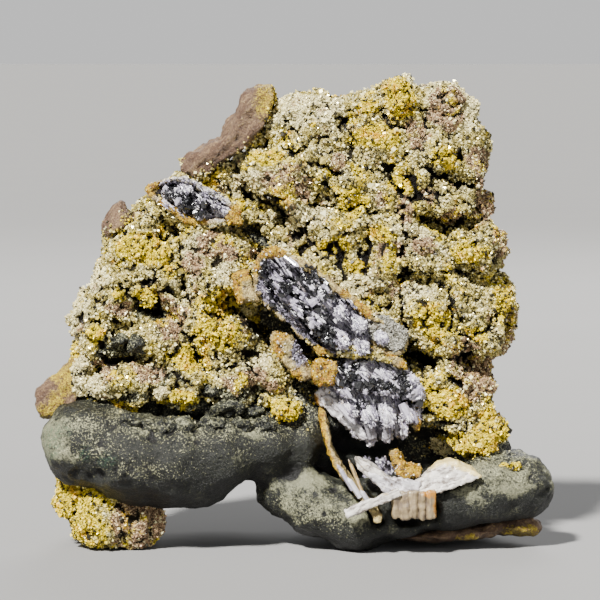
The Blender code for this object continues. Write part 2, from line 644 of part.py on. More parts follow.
def fluted_block():
    """A block whose front is a row of upright ribs."""
    (left, right), (bottom, top), (front, back) = FLUTED
    pitch = (right - left) / FLUTES
    ribs = [left + pitch * (i + 0.5) for i in range(FLUTES)]
    outline = [(left, bottom), (left, top), (right, top), (right, bottom)]
    made = plate("fluted_block", outline, front + pitch / 2, back)
    uprights = []
    for i, x in enumerate(ribs):
        bm = bmesh.new()
        place = Matrix.Translation(vec(x, front + pitch / 2, (bottom + top) / 2 - 0.4 * (i % 2)))
        bmesh.ops.create_cone(
            bm,
            cap_ends=True,
            segments=7,
            radius1=pitch * 0.5 * MM,
            radius2=pitch * 0.56 * MM,
            depth=(top - bottom + 0.7) * MM,
            matrix=place,
        )
        uprights.append(object_from(bm, "rib"))
    return grow(made, uprights)


# The whole specimen


def front_pieces(vein_shell, pocket_shell):
    """Each piece that stands in the crust or on the rock, and its mineral. A piece yields to those before it."""
    return [
        (plate("cross_blade", *CROSS_BLADE), "white_crystal"),
        (plate("stem_blade", *STEM_BLADE), "white_crystal"),
        (plate("wing_blade", *WING_BLADE), "white_crystal"),
        (fluted_block(), "stained_rind"),
        (plate("thin_wall", *THIN_WALL), "stained_rind"),
        (plate("orange_wall", *ORANGE_WALL), "stained_rind"),
        (plate("ochre_block", *OCHRE_BLOCK), "stained_rind"),
        (plate("side_shell", *SIDE_SHELL), "stained_rind"),
        (plate("vein_flap", *VEIN_FLAP), "stained_rind"),
        (vein_shell, "stained_rind"),
        (pocket_shell, "stained_rind"),
        (vein_crystals(), "white_crystal"),
        (lower_crystals(), "white_crystal"),
        (pocket_crystals(), "white_crystal"),
        (cave_crystals(), "white_crystal"),
        (worn_plate("top_rind", RIND_TOP, -10.0, 5.0, 120), "brown_rind"),
        (worn_plate("left_rind", RIND_LEFT, -15.0, -3.0, 110), "brown_rind"),
        (worn_masses("shoulder_lumps", SHOULDER_LUMPS, 100), "brown_rind"),
        (worn_masses("base_flakes", FLAKES, 120), "brown_rind"),
    ]


def fit(pieces):
    """Cuts a socket into each piece for every piece before it that it meets."""
    for i, piece in enumerate(pieces):
        for earlier in pieces[:i]:
            if boxes_meet(piece, earlier):
                socket = inflated(earlier, INFLATE)
                cut(piece, socket)
                discard(socket)


def centre_on_ground(pieces):
    """Puts the origin on the ground under the middle of the specimen's box."""
    low, high = box(*pieces)
    shift = Matrix.Translation((-(low.x + high.x) / 2, -(low.y + high.y) / 2, -low.z))
    for piece in pieces:
        piece.data.transform(shift)
    print("shift", [round(value / MM, 2) for value in shift.translation])


def main():
    clear_scene()
    rock, crust, foot = host_rock(), pyrite_crust(), pyrite_foot()
    vein_shell, vein_room = hollow_rind("vein_shell", VEIN_RIM, VEIN_WALL, VEIN_FRONT, VEIN_BACK)
    pocket_shell, pocket_room = hollow_rind("pocket_shell", POCKET_RIM, POCKET_WALL, POCKET_FRONT, POCKET_BACK)
    cave = thin(fuse(ellipsoids("cave", CAVE), VOXEL, 1), CAVE_TRIANGLES)
    for room in (cave, inflated(vein_room, INFLATE), inflated(pocket_room, INFLATE)):
        cut(crust, room)
        cut(rock, room)
        discard(room)
    discard(vein_room, pocket_room)
    minerals = {mineral: material(mineral, *finish) for mineral, finish in MINERALS.items()}
    placed = [
        *front_pieces(vein_shell, pocket_shell),
        (rock, "mudstone"),
        (foot, "pyrite"),
        (crust, "pyrite"),
    ]
    pieces = [piece for piece, mineral in placed]
    fit(pieces)
    centre_on_ground(pieces)
    specimen = collection("pyrite_specimen")
    for piece, mineral in placed:
        piece.data.materials.append(minerals[mineral])
        bpy.context.scene.collection.objects.unlink(piece)
        specimen.objects.link(piece)


main()
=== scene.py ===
"""The finished look of a cabinet-size pyrite specimen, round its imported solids, on a pale studio floor.

A dark mudstone carries a crust of fine pyrite, which is a dense lumpy skin with small crystals grown over it.
The diagonal vein, the lower mass, the pocket and the cave hold pale columns and black blocky crystals.

+X is to the right of the crystal face, -Y is in front of it and +Z is up. Tables hold millimetres. A patch is
an oval on the front: (across, up, half width, half height). A place on the front is (across, up), where it
shows when seen from VIEW_TILT above the horizon.
"""

import json
import math

import bmesh
import bpy
import numpy as np
from bpy.props import FloatProperty, FloatVectorProperty, IntProperty, PointerProperty
from mathutils import Matrix, Vector, noise
from mathutils.bvhtree import BVHTree

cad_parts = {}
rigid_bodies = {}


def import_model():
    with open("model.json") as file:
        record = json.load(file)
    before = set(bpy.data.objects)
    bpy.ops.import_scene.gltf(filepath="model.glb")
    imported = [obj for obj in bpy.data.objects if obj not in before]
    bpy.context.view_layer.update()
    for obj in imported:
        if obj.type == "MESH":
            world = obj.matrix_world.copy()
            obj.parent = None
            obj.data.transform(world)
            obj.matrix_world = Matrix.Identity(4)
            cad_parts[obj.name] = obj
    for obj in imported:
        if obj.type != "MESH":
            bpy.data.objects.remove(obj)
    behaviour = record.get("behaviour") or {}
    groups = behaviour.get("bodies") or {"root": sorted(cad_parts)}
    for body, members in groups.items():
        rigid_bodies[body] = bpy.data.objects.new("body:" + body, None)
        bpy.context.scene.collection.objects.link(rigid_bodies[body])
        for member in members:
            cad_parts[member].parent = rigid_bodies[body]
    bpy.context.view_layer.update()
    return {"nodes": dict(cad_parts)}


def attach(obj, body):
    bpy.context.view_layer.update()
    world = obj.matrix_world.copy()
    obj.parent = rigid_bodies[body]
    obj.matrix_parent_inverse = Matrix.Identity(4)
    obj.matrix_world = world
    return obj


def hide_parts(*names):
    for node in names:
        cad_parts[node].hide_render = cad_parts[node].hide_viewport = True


bl_info = {
    "name": "Pyrite Specimen",
    "version": (1, 0, 0),
    "blender": (4, 5, 0),
    "location": "3D View > Sidebar > Specimen",
    "description": "Dresses the solids of a pyrite specimen with grains, crystals and mineral finishes",
    "category": "Object",
}

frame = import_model()

MM = 0.001
VIEW_TILT = math.radians(5.0)
VIEW_PLANE_Y = -19.7  # where up on the front is height above the floor

# Patches of the crust that are golden, pale, worn and like the rock
GOLD_PATCHES = [
    (22.8, 99.4, 3.2, 5.0), (16.0, 97.5, 2.6, 1.8), (-5.2, 85.8, 2.2, 1.6), (4.1, 93.3, 1.2, 1.0),
    (-33.1, 66.0, 6.0, 3.2), (-32.7, 55.4, 2.6, 2.4), (-37.7, 56.1, 1.4, 1.2), (-42.8, 47.1, 1.8, 1.8),
    (-15.5, 54.6, 5.0, 3.6), (-17.5, 47.5, 5.5, 3.4), (-22.5, 42.0, 5.0, 2.6), (-38.4, 30.8, 3.5, 1.6),
    (-24.1, 32.6, 3.3, 1.8), (-2.1, 30.8, 4.4, 2.6), (37.5, 23.1, 7.5, 3.0), (32.0, 33.0, 5.0, 2.6),
    (40.2, 47.5, 2.4, 1.6), (-17.9, 82.9, 1.2, 1.8), (-18.8, 79.9, 1.9, 1.3), (-8.3, 86.5, 1.9, 1.3),
    (18.0, 90.5, 5.5, 2.6), (43.5, 29.0, 3.4, 3.4), (46.5, 55.0, 2.4, 5.0), (13.0, 77.0, 4.0, 2.4),
    (30.5, 50.5, 4.5, 3.5), (8.0, 66.5, 3.5, 2.0), (33.0, 86.0, 3.2, 2.0), (28.0, 35.0, 3.0, 3.0),
    (19.0, 70.0, 3.0, 2.0), (38.0, 65.5, 4.0, 2.4), (14.5, 62.0, 2.4, 1.4), (24.0, 80.5, 3.0, 2.0),
]
PALE_PATCHES = [
    (0.5, 96.8, 9.5, 4.0), (-21.0, 66.4, 3.0, 3.0), (-16.0, 63.0, 3.0, 2.0), (-49.0, 52.0, 4.0, 7.0),
    (35.3, 98.0, 6.5, 5.0), (-14.2, 88.0, 5.0, 3.0), (-9.8, 80.3, 4.4, 2.6), (14.0, 58.5, 5.0, 3.0),
    (25.5, 68.5, 4.0, 3.0), (28.0, 103.5, 5.0, 1.6), (27.0, 57.0, 3.0, 2.0), (-9.0, 41.5, 3.5, 2.5),
    (-24.5, 57.5, 2.4, 2.4), (2.0, 73.0, 5.0, 2.6), (-43.0, 60.0, 3.0, 3.0), (-3.0, 66.0, 3.0, 2.0),
    (-14.0, 60.0, 4.0, 2.0),
]
WORN_PATCHES = [
    (-2.3, 80.3, 3.6, 4.4), (-17.6, 67.0, 4.0, 2.6), (-22.0, 62.4, 2.6, 2.2), (-14.4, 65.4, 2.0, 2.0),
    (1.9, 78.5, 1.8, 1.8), (9.6, 85.4, 1.8, 1.8), (33.0, 95.4, 4.0, 3.0), (24.3, 74.8, 2.0, 4.0),
    (-29.6, 65.6, 2.0, 1.4), (-27.0, 48.8, 2.9, 1.9), (47.5, 45.5, 1.8, 2.4), (39.5, 38.5, 5.5, 4.4),
    (42.0, 78.0, 2.4, 6.0), (21.0, 65.5, 3.4, 2.2), (-11.0, 36.5, 4.0, 2.6), (27.0, 92.0, 2.5, 3.5),
    (-25.5, 52.0, 3.2, 1.8), (47.0, 67.5, 2.6, 4.0), (-9.5, 49.0, 3.6, 2.0), (-8.0, 64.5, 3.6, 2.0),
    (40.5, 85.5, 2.6, 3.0), (29.5, 78.0, 2.6, 1.6), (-38.0, 53.0, 3.0, 1.6), (34.5, 73.5, 3.0, 1.4),
    (-29.5, 54.0, 1.6, 2.2), (38.0, 45.0, 3.0, 1.4), (19.0, 77.0, 2.0, 1.6), (-31.5, 38.6, 3.4, 2.0),
    (-41.5, 39.6, 3.0, 1.8), (-8.6, 38.4, 3.0, 2.0), (-4.6, 35.6, 2.6, 1.6),
]
DARK_PATCHES = [
    (-31.4, 52.4, 3.4, 2.2), (-38.0, 44.0, 5.0, 2.4), (-25.5, 37.6, 4.0, 1.4), (-14.0, 34.4, 6.5, 1.8),
    (-9.5, 44.0, 2.4, 1.6), (24.0, 43.2, 3.0, 2.8), (30.0, 26.8, 4.6, 1.6), (-7.0, 49.5, 3.0, 4.0),
    (-20.0, 71.8, 2.4, 1.0), (-35.0, 34.0, 4.0, 1.2), (-44.0, 39.5, 2.0, 1.4),
]

# Crevices in the crust: path of (across, up), half width, depth
CREVICES = [
    ([(-20.0, 74.2), (-15.5, 73.0), (-11.0, 71.2), (-7.4, 67.6)], 1.5, 2.6),
    ([(-11.0, 79.0), (-7.0, 76.8), (-4.0, 75.6), (-2.0, 73.4)], 1.0, 2.2),
    ([(-10.0, 75.0), (-6.5, 72.8), (-5.5, 69.6)], 0.5, 1.6),
    ([(-2.5, 88.0), (0.0, 87.0), (2.2, 87.6)], 1.0, 2.8),
    ([(1.6, 78.0), (3.6, 75.8), (5.6, 75.6), (11.0, 74.8), (15.0, 75.4), (18.8, 74.2)], 0.7, 2.2),
    ([(6.4, 84.4), (8.6, 82.8)], 0.8, 2.2),
    ([(5.7, 80.2), (8.2, 79.0)], 0.7, 2.0),
    ([(13.8, 84.2), (18.0, 83.2), (22.0, 84.4), (24.8, 87.0)], 0.5, 1.8),
    ([(9.0, 94.4), (12.6, 94.6), (15.8, 95.8)], 0.4, 1.4),
    ([(18.6, 96.4), (21.5, 93.2), (25.0, 92.6)], 0.6, 1.8),
    ([(20.0, 82.5), (23.0, 79.5), (23.6, 76.8)], 0.7, 1.8),
    ([(29.4, 95.9), (31.8, 94.2), (35.0, 95.3), (38.4, 97.5)], 0.4, 1.2),
    ([(28.6, 84.0), (31.6, 82.2), (34.0, 81.6), (38.4, 80.0)], 0.9, 2.2),
    ([(36.2, 88.4), (36.8, 86.4)], 0.6, 2.0),
    ([(27.0, 73.8), (29.5, 72.4), (31.6, 72.8), (34.0, 71.4), (37.4, 72.6)], 0.9, 2.8),
    ([(37.4, 76.6), (39.0, 75.4), (41.0, 75.4)], 0.7, 2.2),
    ([(26.4, 68.5), (23.6, 65.0), (23.7, 55.0), (24.6, 48.4), (26.6, 45.0)], 0.5, 2.2),
    ([(23.2, 62.0), (26.0, 61.0), (28.0, 61.8), (31.5, 59.0), (34.0, 58.0)], 0.6, 2.6),
    ([(33.0, 60.8), (36.0, 61.8), (38.5, 60.6), (41.0, 61.2)], 0.6, 2.4),
    ([(34.0, 57.8), (33.2, 56.4), (34.6, 54.4)], 1.0, 2.4),
    ([(35.0, 52.0), (37.0, 50.0)], 0.7, 1.8),
    ([(31.0, 42.6), (33.5, 41.2), (36.0, 41.8), (39.0, 43.4)], 0.8, 2.4),
    ([(24.0, 43.6), (27.5, 42.4), (30.0, 40.6)], 1.9, 3.2),
    ([(-13.0, 52.0), (-9.0, 49.6), (-5.4, 46.4), (-2.4, 44.0)], 1.7, 2.6),
    ([(34.0, 37.6), (37.0, 36.0)], 0.8, 2.0),
    ([(25.0, 32.6), (30.5, 29.6), (36.0, 27.6)], 0.6, 1.8),
    ([(-30.7, 60.0), (-30.0, 57.0), (-30.2, 52.8)], 0.6, 2.0),
    ([(-24.8, 67.1), (-25.2, 63.4), (-24.0, 60.0), (-24.4, 57.0), (-22.0, 53.5)], 0.55, 2.0),
    ([(-25.0, 49.9), (-22.8, 45.8), (-20.1, 40.5)], 0.55, 2.2),
    ([(-22.8, 45.8), (-20.4, 48.6)], 0.4, 1.6),
    ([(-20.1, 40.5), (-16.0, 39.6), (-11.3, 41.0)], 0.5, 1.8),
    ([(-42.0, 42.5), (-39.0, 41.0), (-35.0, 42.2), (-31.0, 42.0)], 0.7, 2.2),
    ([(-36.0, 61.0), (-37.5, 57.8), (-34.0, 54.0), (-28.0, 51.0)], 0.6, 1.8),
    ([(-38.0, 69.5), (-33.0, 69.0), (-29.5, 67.6)], 0.4, 1.4),
    ([(-14.5, 45.0), (-10.5, 43.0), (-9.5, 38.5)], 0.4, 1.6),
    ([(-20.0, 52.0), (-15.5, 50.6), (-12.0, 51.4)], 0.5, 1.6),
]

# The dark rock: its pits, as (across, up, radius, depth), and its sage, flecked and green patches
ROCK_PITS = [
    (-48.7, 24.2, 0.9, 1.0), (-6.5, 11.8, 0.5, 0.6), (-47.0, 17.5, 1.2, 0.9), (-44.0, 17.0, 1.0, 0.9),
    (-41.5, 17.2, 1.4, 1.0), (-38.5, 17.8, 1.1, 0.9), (-35.0, 19.0, 1.3, 1.0), (55.0, 13.0, 0.9, 0.8),
    (51.5, 16.5, 1.2, 0.8), (-27.0, 27.0, 1.8, 1.4), (-22.0, 28.0, 2.0, 1.4), (-16.0, 28.5, 1.6, 1.2),
]
SAGE_PATCHES = [
    (2.5, 12.0, 8.5, 7.0), (46.0, 16.0, 11.0, 4.6), (-52.0, 22.0, 6.0, 8.0), (-31.0, 31.0, 4.5, 2.0),
    (-9.5, 27.5, 4.0, 3.0), (38.0, 14.0, 4.5, 2.6), (13.0, 9.0, 5.0, 3.5),
]
FLECKED_PATCHES = [
    (-42.0, 28.0, 9.0, 3.6), (-17.0, 27.5, 20.0, 4.6), (-44.0, 23.0, 9.0, 3.0), (-11.0, 31.0, 12.0, 6.0),
    (48.0, 18.5, 10.0, 5.0), (2.0, 8.0, 12.0, 5.0), (-33.0, 18.0, 12.0, 2.6),
]
GREEN_PATCHES = [
    (-52.5, 24.0, 2.6, 3.4), (-40.0, 20.5, 2.0, 1.4), (-50.0, 27.0, 2.0, 1.4), (-45.0, 22.0, 1.4, 2.0),
]

# Patches of black crystals in the vein, the lower mass, the pocket and the cave
VEIN_BLACK = [
    (-6.4, 61.0, 0.9, 3.2), (-4.6, 56.6, 1.0, 2.6), (-1.6, 57.4, 1.6, 1.4), (3.0, 60.6, 2.2, 2.0),
    (5.6, 58.2, 1.8, 1.8), (1.0, 55.6, 1.8, 0.8), (8.0, 55.8, 1.6, 1.2), (3.6, 53.2, 2.0, 1.0),
    (6.2, 52.6, 1.0, 1.8), (2.2, 50.4, 1.4, 1.4), (6.4, 47.6, 2.6, 2.4), (8.4, 45.4, 1.2, 1.2),
    (-5.6, 53.4, 1.5, 0.9), (0.6, 58.8, 1.0, 1.2),
]
LOWER_BLACK = [
    (10.6, 40.6, 0.9, 2.0), (12.2, 37.8, 1.3, 2.0), (14.6, 36.6, 1.8, 1.4), (17.6, 36.6, 2.4, 1.6),
    (20.8, 36.2, 1.8, 1.2), (23.6, 37.6, 1.4, 1.8), (24.4, 34.4, 1.5, 2.4), (26.8, 32.6, 1.8, 1.2),
    (8.0, 33.6, 0.7, 1.0), (15.2, 32.0, 1.6, 0.9), (13.6, 40.4, 0.8, 1.2), (10.2, 36.8, 0.8, 1.2),
]
POCKET_BLACK = [
    (-27.0, 78.2, 1.4, 1.2), (-25.0, 76.6, 1.5, 1.3), (-23.2, 75.2, 1.6, 1.2), (-22.6, 77.6, 1.2, 0.9),
    (-21.0, 73.8, 1.3, 1.1), (-19.6, 75.6, 1.0, 0.8),
]
CAVE_BLACK = [(17.6, 19.8, 1.0, 0.8), (22.4, 20.2, 1.4, 0.8)]

# Where the pale laths stand: patch, lean, number, shortest and longest, thinnest and thickest radius
VEIN_BEDS = [
    ((-2.8, 58.8, 4.8, 5.8), (0.66, -0.16, -0.66), 170, (1.3, 4.2), (0.18, 0.42)),
    ((3.0, 54.0, 5.0, 4.8), (0.66, -0.20, -0.58), 150, (1.2, 3.4), (0.20, 0.50)),
    ((10.5, 50.6, 3.8, 5.0), (0.55, -0.30, -0.62), 240, (0.8, 2.2), (0.14, 0.34)),
    ((13.5, 46.0, 4.6, 3.0), (0.50, -0.30, -0.55), 200, (0.7, 2.0), (0.14, 0.32)),
]
LOWER_BEDS = [
    ((11.5, 37.6, 4.6, 3.8), (0.56, -0.25, -0.70), 200, (1.0, 2.8), (0.15, 0.36)),
    ((19.5, 37.6, 6.0, 3.6), (0.56, -0.30, -0.60), 260, (0.9, 2.6), (0.14, 0.34)),
    ((13.0, 32.0, 6.0, 3.0), (0.45, -0.25, -0.75), 190, (1.0, 3.0), (0.18, 0.42)),
    ((20.5, 31.0, 6.0, 3.4), (0.30, -0.30, -0.80), 190, (1.0, 3.0), (0.18, 0.45)),
    ((19.5, 27.0, 4.6, 2.4), (0.12, -0.25, -0.92), 80, (1.2, 2.8), (0.25, 0.55)),
]
POCKET_BEDS = [
    ((-23.0, 76.5, 5.5, 3.4), (0.60, -0.25, -0.62), 240, (0.8, 2.2), (0.12, 0.28)),
    ((-24.5, 80.0, 5.0, 1.6), (0.50, -0.70, 0.20), 140, (0.5, 1.2), (0.15, 0.32)),
    ((-18.0, 76.5, 3.0, 2.4), (0.45, -0.60, -0.30), 100, (0.5, 1.2), (0.15, 0.32)),
]
CAVE_BEDS = [((19.4, 18.8, 4.6, 3.0), (-0.35, -0.40, 0.80), 200, (1.0, 2.8), (0.2, 0.5))]

# The thin pale crest of the rind round the vein and round the pocket, as (half width, path) of each stretch,
# and the patches of stain on and in them
VEIN_CREST = [
    (0.40, [(1.6, 46.6), (-1.7, 49.4), (-3.4, 51.4), (-5.2, 52.8), (-7.4, 54.8), (-8.2, 57.4), (-8.6, 61.2),
            (-8.4, 63.6)]),
    (0.85, [(-8.4, 63.6), (-7.0, 65.0), (-4.8, 65.6), (-2.2, 64.6), (0.8, 63.0), (4.2, 61.6)]),
    (0.95, [(4.2, 61.6), (7.0, 59.6), (10.0, 57.4), (12.8, 55.4)]),
    (0.45, [(12.8, 55.4), (15.2, 52.6), (18.0, 50.4), (21.6, 48.6), (24.6, 47.6), (25.2, 46.2), (22.6, 43.4),
            (18.6, 44.0)]),
]
VEIN_STAIN = [
    (-6.0, 65.4, 4.6, 1.6), (-8.6, 62.6, 1.4, 2.6), (14.8, 52.8, 2.4, 3.2), (12.0, 56.8, 2.0, 1.4),
    (4.4, 43.6, 3.4, 1.4), (15.0, 47.8, 1.8, 2.8), (16.8, 45.4, 1.6, 1.4),
]
POCKET_CREST = [
    (0.95, [(-32.2, 81.6), (-30.4, 78.4), (-27.4, 75.2), (-24.2, 72.8), (-21.2, 72.2), (-18.4, 72.4)]),
    (0.50, [(-18.4, 72.4), (-16.0, 72.4), (-13.0, 74.4), (-14.6, 76.6), (-18.0, 78.6)]),
    (0.80, [(-18.0, 78.6), (-21.4, 80.6), (-25.6, 82.0), (-32.2, 81.6)]),
]
POCKET_STAIN = [
    (-31.0, 79.6, 2.0, 2.2), (-27.6, 75.2, 4.4, 2.4), (-22.6, 72.4, 5.0, 1.8), (-12.8, 74.2, 2.4, 2.0),
    (-16.2, 73.6, 1.6, 1.2),
]


def unit(values):
    """The values held between 0 and 1."""
    return np.clip(values, 0, 1)


# Meshes, as arrays in millimetres


def read(items, field, width, kind=np.float32):
    """One field of each of a mesh's items, as rows of an array."""
    values = np.empty(len(items) * width, kind)
    items.foreach_get(field, values)
    return values.reshape(-1, width)


def corners_of(mesh):
    """Where a mesh's corners are, in millimetres."""
    return read(mesh.vertices, "co", 3).astype(float) / MM


def facing_of(mesh):
    """Which way the surface faces at each corner."""
    return read(mesh.vertex_normals, "vector", 3).astype(float)


def move_corners(mesh, places):
    """Puts a mesh's corners at places in millimetres."""
    mesh.vertices.foreach_set("co", (places * MM).astype(np.float32).ravel())
    mesh.update()


def mark(mesh, name, values):
    """Keeps a number for each corner in place of any earlier one, which the finishes read by name."""
    attribute = mesh.attributes.get(name) or mesh.attributes.new(name, "FLOAT", "POINT")
    attribute.data.foreach_set("value", unit(values).astype(np.float32))


def dense(data, name, voxel, rounds):
    """A new mesh wrapped round another on a fine grid, then smoothed. The other is removed."""
    holder = bpy.data.objects.new("holder", data)
    bpy.context.scene.collection.objects.link(holder)
    grid = holder.modifiers.new("Grid", "REMESH")
    grid.mode = "VOXEL"
    grid.voxel_size = voxel * MM
    smooth = holder.modifiers.new("Smooth", "SMOOTH")
    smooth.factor = 0.5
    smooth.iterations = rounds
    graph = bpy.context.evaluated_depsgraph_get()
    mesh = bpy.data.meshes.new_from_object(holder.evaluated_get(graph))
    bpy.data.meshes.remove(data)
    mesh.name = name
    mesh.materials.clear()
    return mesh


def dense_copy(node, voxel, rounds):
    """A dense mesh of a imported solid."""
    return dense(frame["nodes"][node].data.copy(), f"{node}_skin", voxel, rounds)


def settled(mesh, places, rounds):
    """The places after each has moved to the middle of its neighbours, rounds times."""
    edges = read(mesh.edges, "vertices", 2, np.int32)
    both = np.concatenate([edges, edges[:, ::-1]])
    count = np.bincount(both[:, 0], minlength=len(places))[:, None]
    for _ in range(rounds):
        columns = range(places.shape[1])
        sums = [np.bincount(both[:, 0], places[both[:, 1], column], len(places)) for column in columns]
        places = np.stack(sums, axis=1) / np.maximum(count, 1)
    return places


def hollowness(mesh, places, facing, rounds, depth):
    """1 in a hollow that lies depth under its surroundings, 0.5 on the level and 0 on a crest."""
    gap = ((settled(mesh, places, rounds) - places) * facing).sum(axis=1)
    return unit(0.5 + 0.5 * gap / depth)


def mesh_from(name, places, faces):
    """A mesh from its corners and from arrays of faces, each array of one number of sides."""
    mesh = bpy.data.meshes.new(name)
    sides = np.concatenate([np.full(len(part), part.shape[1]) for part in faces])
    mesh.vertices.add(len(places))
    mesh.loops.add(int(sides.sum()))
    mesh.polygons.add(len(sides))
    mesh.vertices.foreach_set("co", (places * MM).astype(np.float32).ravel())
    mesh.loops.foreach_set("vertex_index", np.concatenate([part.ravel() for part in faces]).astype(np.int32))
    mesh.polygons.foreach_set("loop_start", (np.cumsum(sides) - sides).astype(np.int32))
    mesh.update(calc_edges=True)
    mesh.validate()
    return mesh


def piece_from(mesh, nodes, finish, smooth):
    """The mesh as a piece that rides on the specimen and stands for the nodes."""
    mesh.materials.append(finish)
    mesh.polygons.foreach_set("use_smooth", np.full(len(mesh.polygons), smooth))
    piece = bpy.data.objects.new(mesh.name, mesh)
    bpy.context.scene.collection.objects.link(piece)
    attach(piece, "root")
    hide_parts(*nodes)
    return piece


# Natural roughness

DOME_REACH = 0.75  # a knob's radius, in cells


def wander(places, size, octaves=3, seed=0.0):
    """Cloudy noise, about -1 to 1, whose largest swells are size across."""
    shifted = places / size + seed
    return np.array([noise.fractal(Vector(place), 1.0, 2.0, octaves) for place in shifted])


def pushes(places, size, octaves, seeds):
    """Cloudy noise for each direction, as columns, one seed for each."""
    return np.stack([wander(places, size, octaves, seed) for seed in seeds], axis=1)


def nearest_cells(places, size, seed=0.0):
    """How far the nearest and the next of scattered points are, in cells of that size."""
    shifted = places / size + seed
    return np.array([noise.voronoi(Vector(place))[0][:2] for place in shifted])


def seams(places, size, seed=0.0):
    """How far inside its cell each place is, 0 on the seams between cells."""
    cells = nearest_cells(places, size, seed)
    return cells[:, 1] - cells[:, 0]


def domes(places, size, seed=0.0):
    """Round knobs, 1 at their tops and 0 between them."""
    reach = nearest_cells(places, size, seed)[:, 0] / DOME_REACH
    return np.sqrt(unit(1.0 - reach**2))


def seen(places):
    """Where places show on the front: across and up."""
    up = places[:, 2] * math.cos(VIEW_TILT) + (places[:, 1] - VIEW_PLANE_Y) * math.sin(VIEW_TILT)
    return np.stack([places[:, 0], up], axis=1)


def ragged(places, reach, size=2.5):
    """Where places show on the front, pushed about so that a patch gets a ragged edge."""
    return seen(places) + pushes(places, size, 3, (3.1, 8.7)) * reach


def patches(shown, table, edge=0.55):
    """1 inside the table's oval patches and 0 outside."""
    inside = np.zeros(len(shown))
    for across, up, half_width, half_height in table:
        reach = np.hypot((shown[:, 0] - across) / half_width, (shown[:, 1] - up) / half_height)
        inside = np.maximum(inside, unit((1.0 - reach) / edge + 0.5))
    return inside


def nearest_on(path, shown):
    """For each place on the front, the nearest spot on the path, and how far away that is."""
    spots, nearest = np.zeros_like(shown), np.full(len(shown), np.inf)
    for start, end in zip(np.array(path[:-1]), np.array(path[1:])):
        run = end - start
        along = unit(((shown - start) @ run) / max(run @ run, 1e-9))[:, None] * run
        reach = np.linalg.norm(shown - start - along, axis=1)
        closer = reach < nearest
        spots[closer] = (start + along)[closer]
        nearest[closer] = reach[closer]
    return spots, nearest


def distance_to(path, shown):
    """From each place on the front to the nearest stretch of the path."""
    return nearest_on(path, shown)[1]


def crevices(shown, table):
    """How open each place is, 0 to 1, and how deep, along paths of (across, up)."""
    opening, depth = np.zeros(len(shown)), np.zeros(len(shown))
    level = np.column_stack([shown, np.zeros(len(shown))])
    widened = np.clip(0.8 + 1.1 * wander(level, 3.2, 2, 5.0), 0.3, 1.7)
    for path, half_width, deep in table:
        inside = unit(2.0 - 1.7 * distance_to(path, shown) / (half_width * widened))
        opening = np.maximum(opening, inside)
        depth = np.maximum(depth, inside * deep)
    return opening, depth


# Small crystals, each a shape repeated


def hexagonal_column():
    """A six-sided column along +Z, 1 tall and 1 in radius, with a pointed top."""
    turns = np.arange(6) * math.tau / 6
    ring = np.stack([np.cos(turns), np.sin(turns), np.zeros(6)], axis=1)
    corners = np.concatenate([ring, ring * 0.92 + (0, 0, 0.82), [(0.1, 0.1, 1.0)]])
    low = np.arange(6)
    following = (low + 1) % 6
    walls = np.stack([low, following, following + 6, low + 6], axis=1)
    roof = np.stack([low + 6, following + 6, np.full(6, 12)], axis=1)
    return corners, [walls, roof, low[None, ::-1]]


def cube():
    """A cube, 1 across."""
    corners = np.array([(x, y, z) for z in (-0.5, 0.5) for y in (-0.5, 0.5) for x in (-0.5, 0.5)])
    quads = [(0, 2, 3, 1), (4, 5, 7, 6), (0, 1, 5, 4), (2, 6, 7, 3), (0, 4, 6, 2), (1, 3, 7, 5)]
    return corners, [np.array(quads)]


def double_pyramid():
    """Two four-sided pyramids base to base, about as big as the cube."""
    corners = np.array([(1, 0, 0), (0, 1, 0), (-1, 0, 0), (0, -1, 0), (0, 0, 1), (0, 0, -1)]) * 0.68
    above = [(i, (i + 1) % 4, 4) for i in range(4)]
    below = [((i + 1) % 4, i, 5) for i in range(4)]
    return corners, [np.array(above + below)]


def blocky(rng, count=11):
    """An irregular many-faced crystal."""
    points = rng.normal(size=(count, 3))
    points *= rng.uniform(0.85, 1.0, (count, 1)) * 0.62 / np.linalg.norm(points, axis=1)[:, None]
    hull = bmesh.new()
    for point in points:
        hull.verts.new(point)
    bmesh.ops.convex_hull(hull, input=hull.verts)
    loose = [vert for vert in hull.verts if not vert.link_faces]
    bmesh.ops.delete(hull, geom=loose, context="VERTS")
    hull.verts.index_update()
    corners = np.array([vert.co for vert in hull.verts])
    faces = np.array([[vert.index for vert in face.verts] for face in hull.faces])
    hull.free()
    return corners, [faces]


def tumbled(rng, count):
    """Random turns, as matrices."""
    q = rng.normal(size=(count, 4))
    w, x, y, z = (q / np.linalg.norm(q, axis=1)[:, None]).T
    rows = [
        [1 - 2 * (y * y + z * z), 2 * (x * y - z * w), 2 * (x * z + y * w)],
        [2 * (x * y + z * w), 1 - 2 * (x * x + z * z), 2 * (y * z - x * w)],
        [2 * (x * z - y * w), 2 * (y * z + x * w), 1 - 2 * (x * x + y * y)],
    ]
    return np.moveaxis(np.array(rows), -1, 0)


def aimed(directions, spins):
    """Turns that take +Z to each direction, with a spin round it, as matrices."""
    ahead = directions / np.linalg.norm(directions, axis=1)[:, None]
    level = np.cross(ahead, np.where(np.abs(ahead[:, :1]) < 0.9, (1.0, 0, 0), (0, 1.0, 0)))
    level /= np.linalg.norm(level, axis=1)[:, None]
    other = np.cross(ahead, level)
    across = level * np.cos(spins)[:, None] + other * np.sin(spins)[:, None]
    return np.stack([across, np.cross(ahead, across), ahead], axis=2)


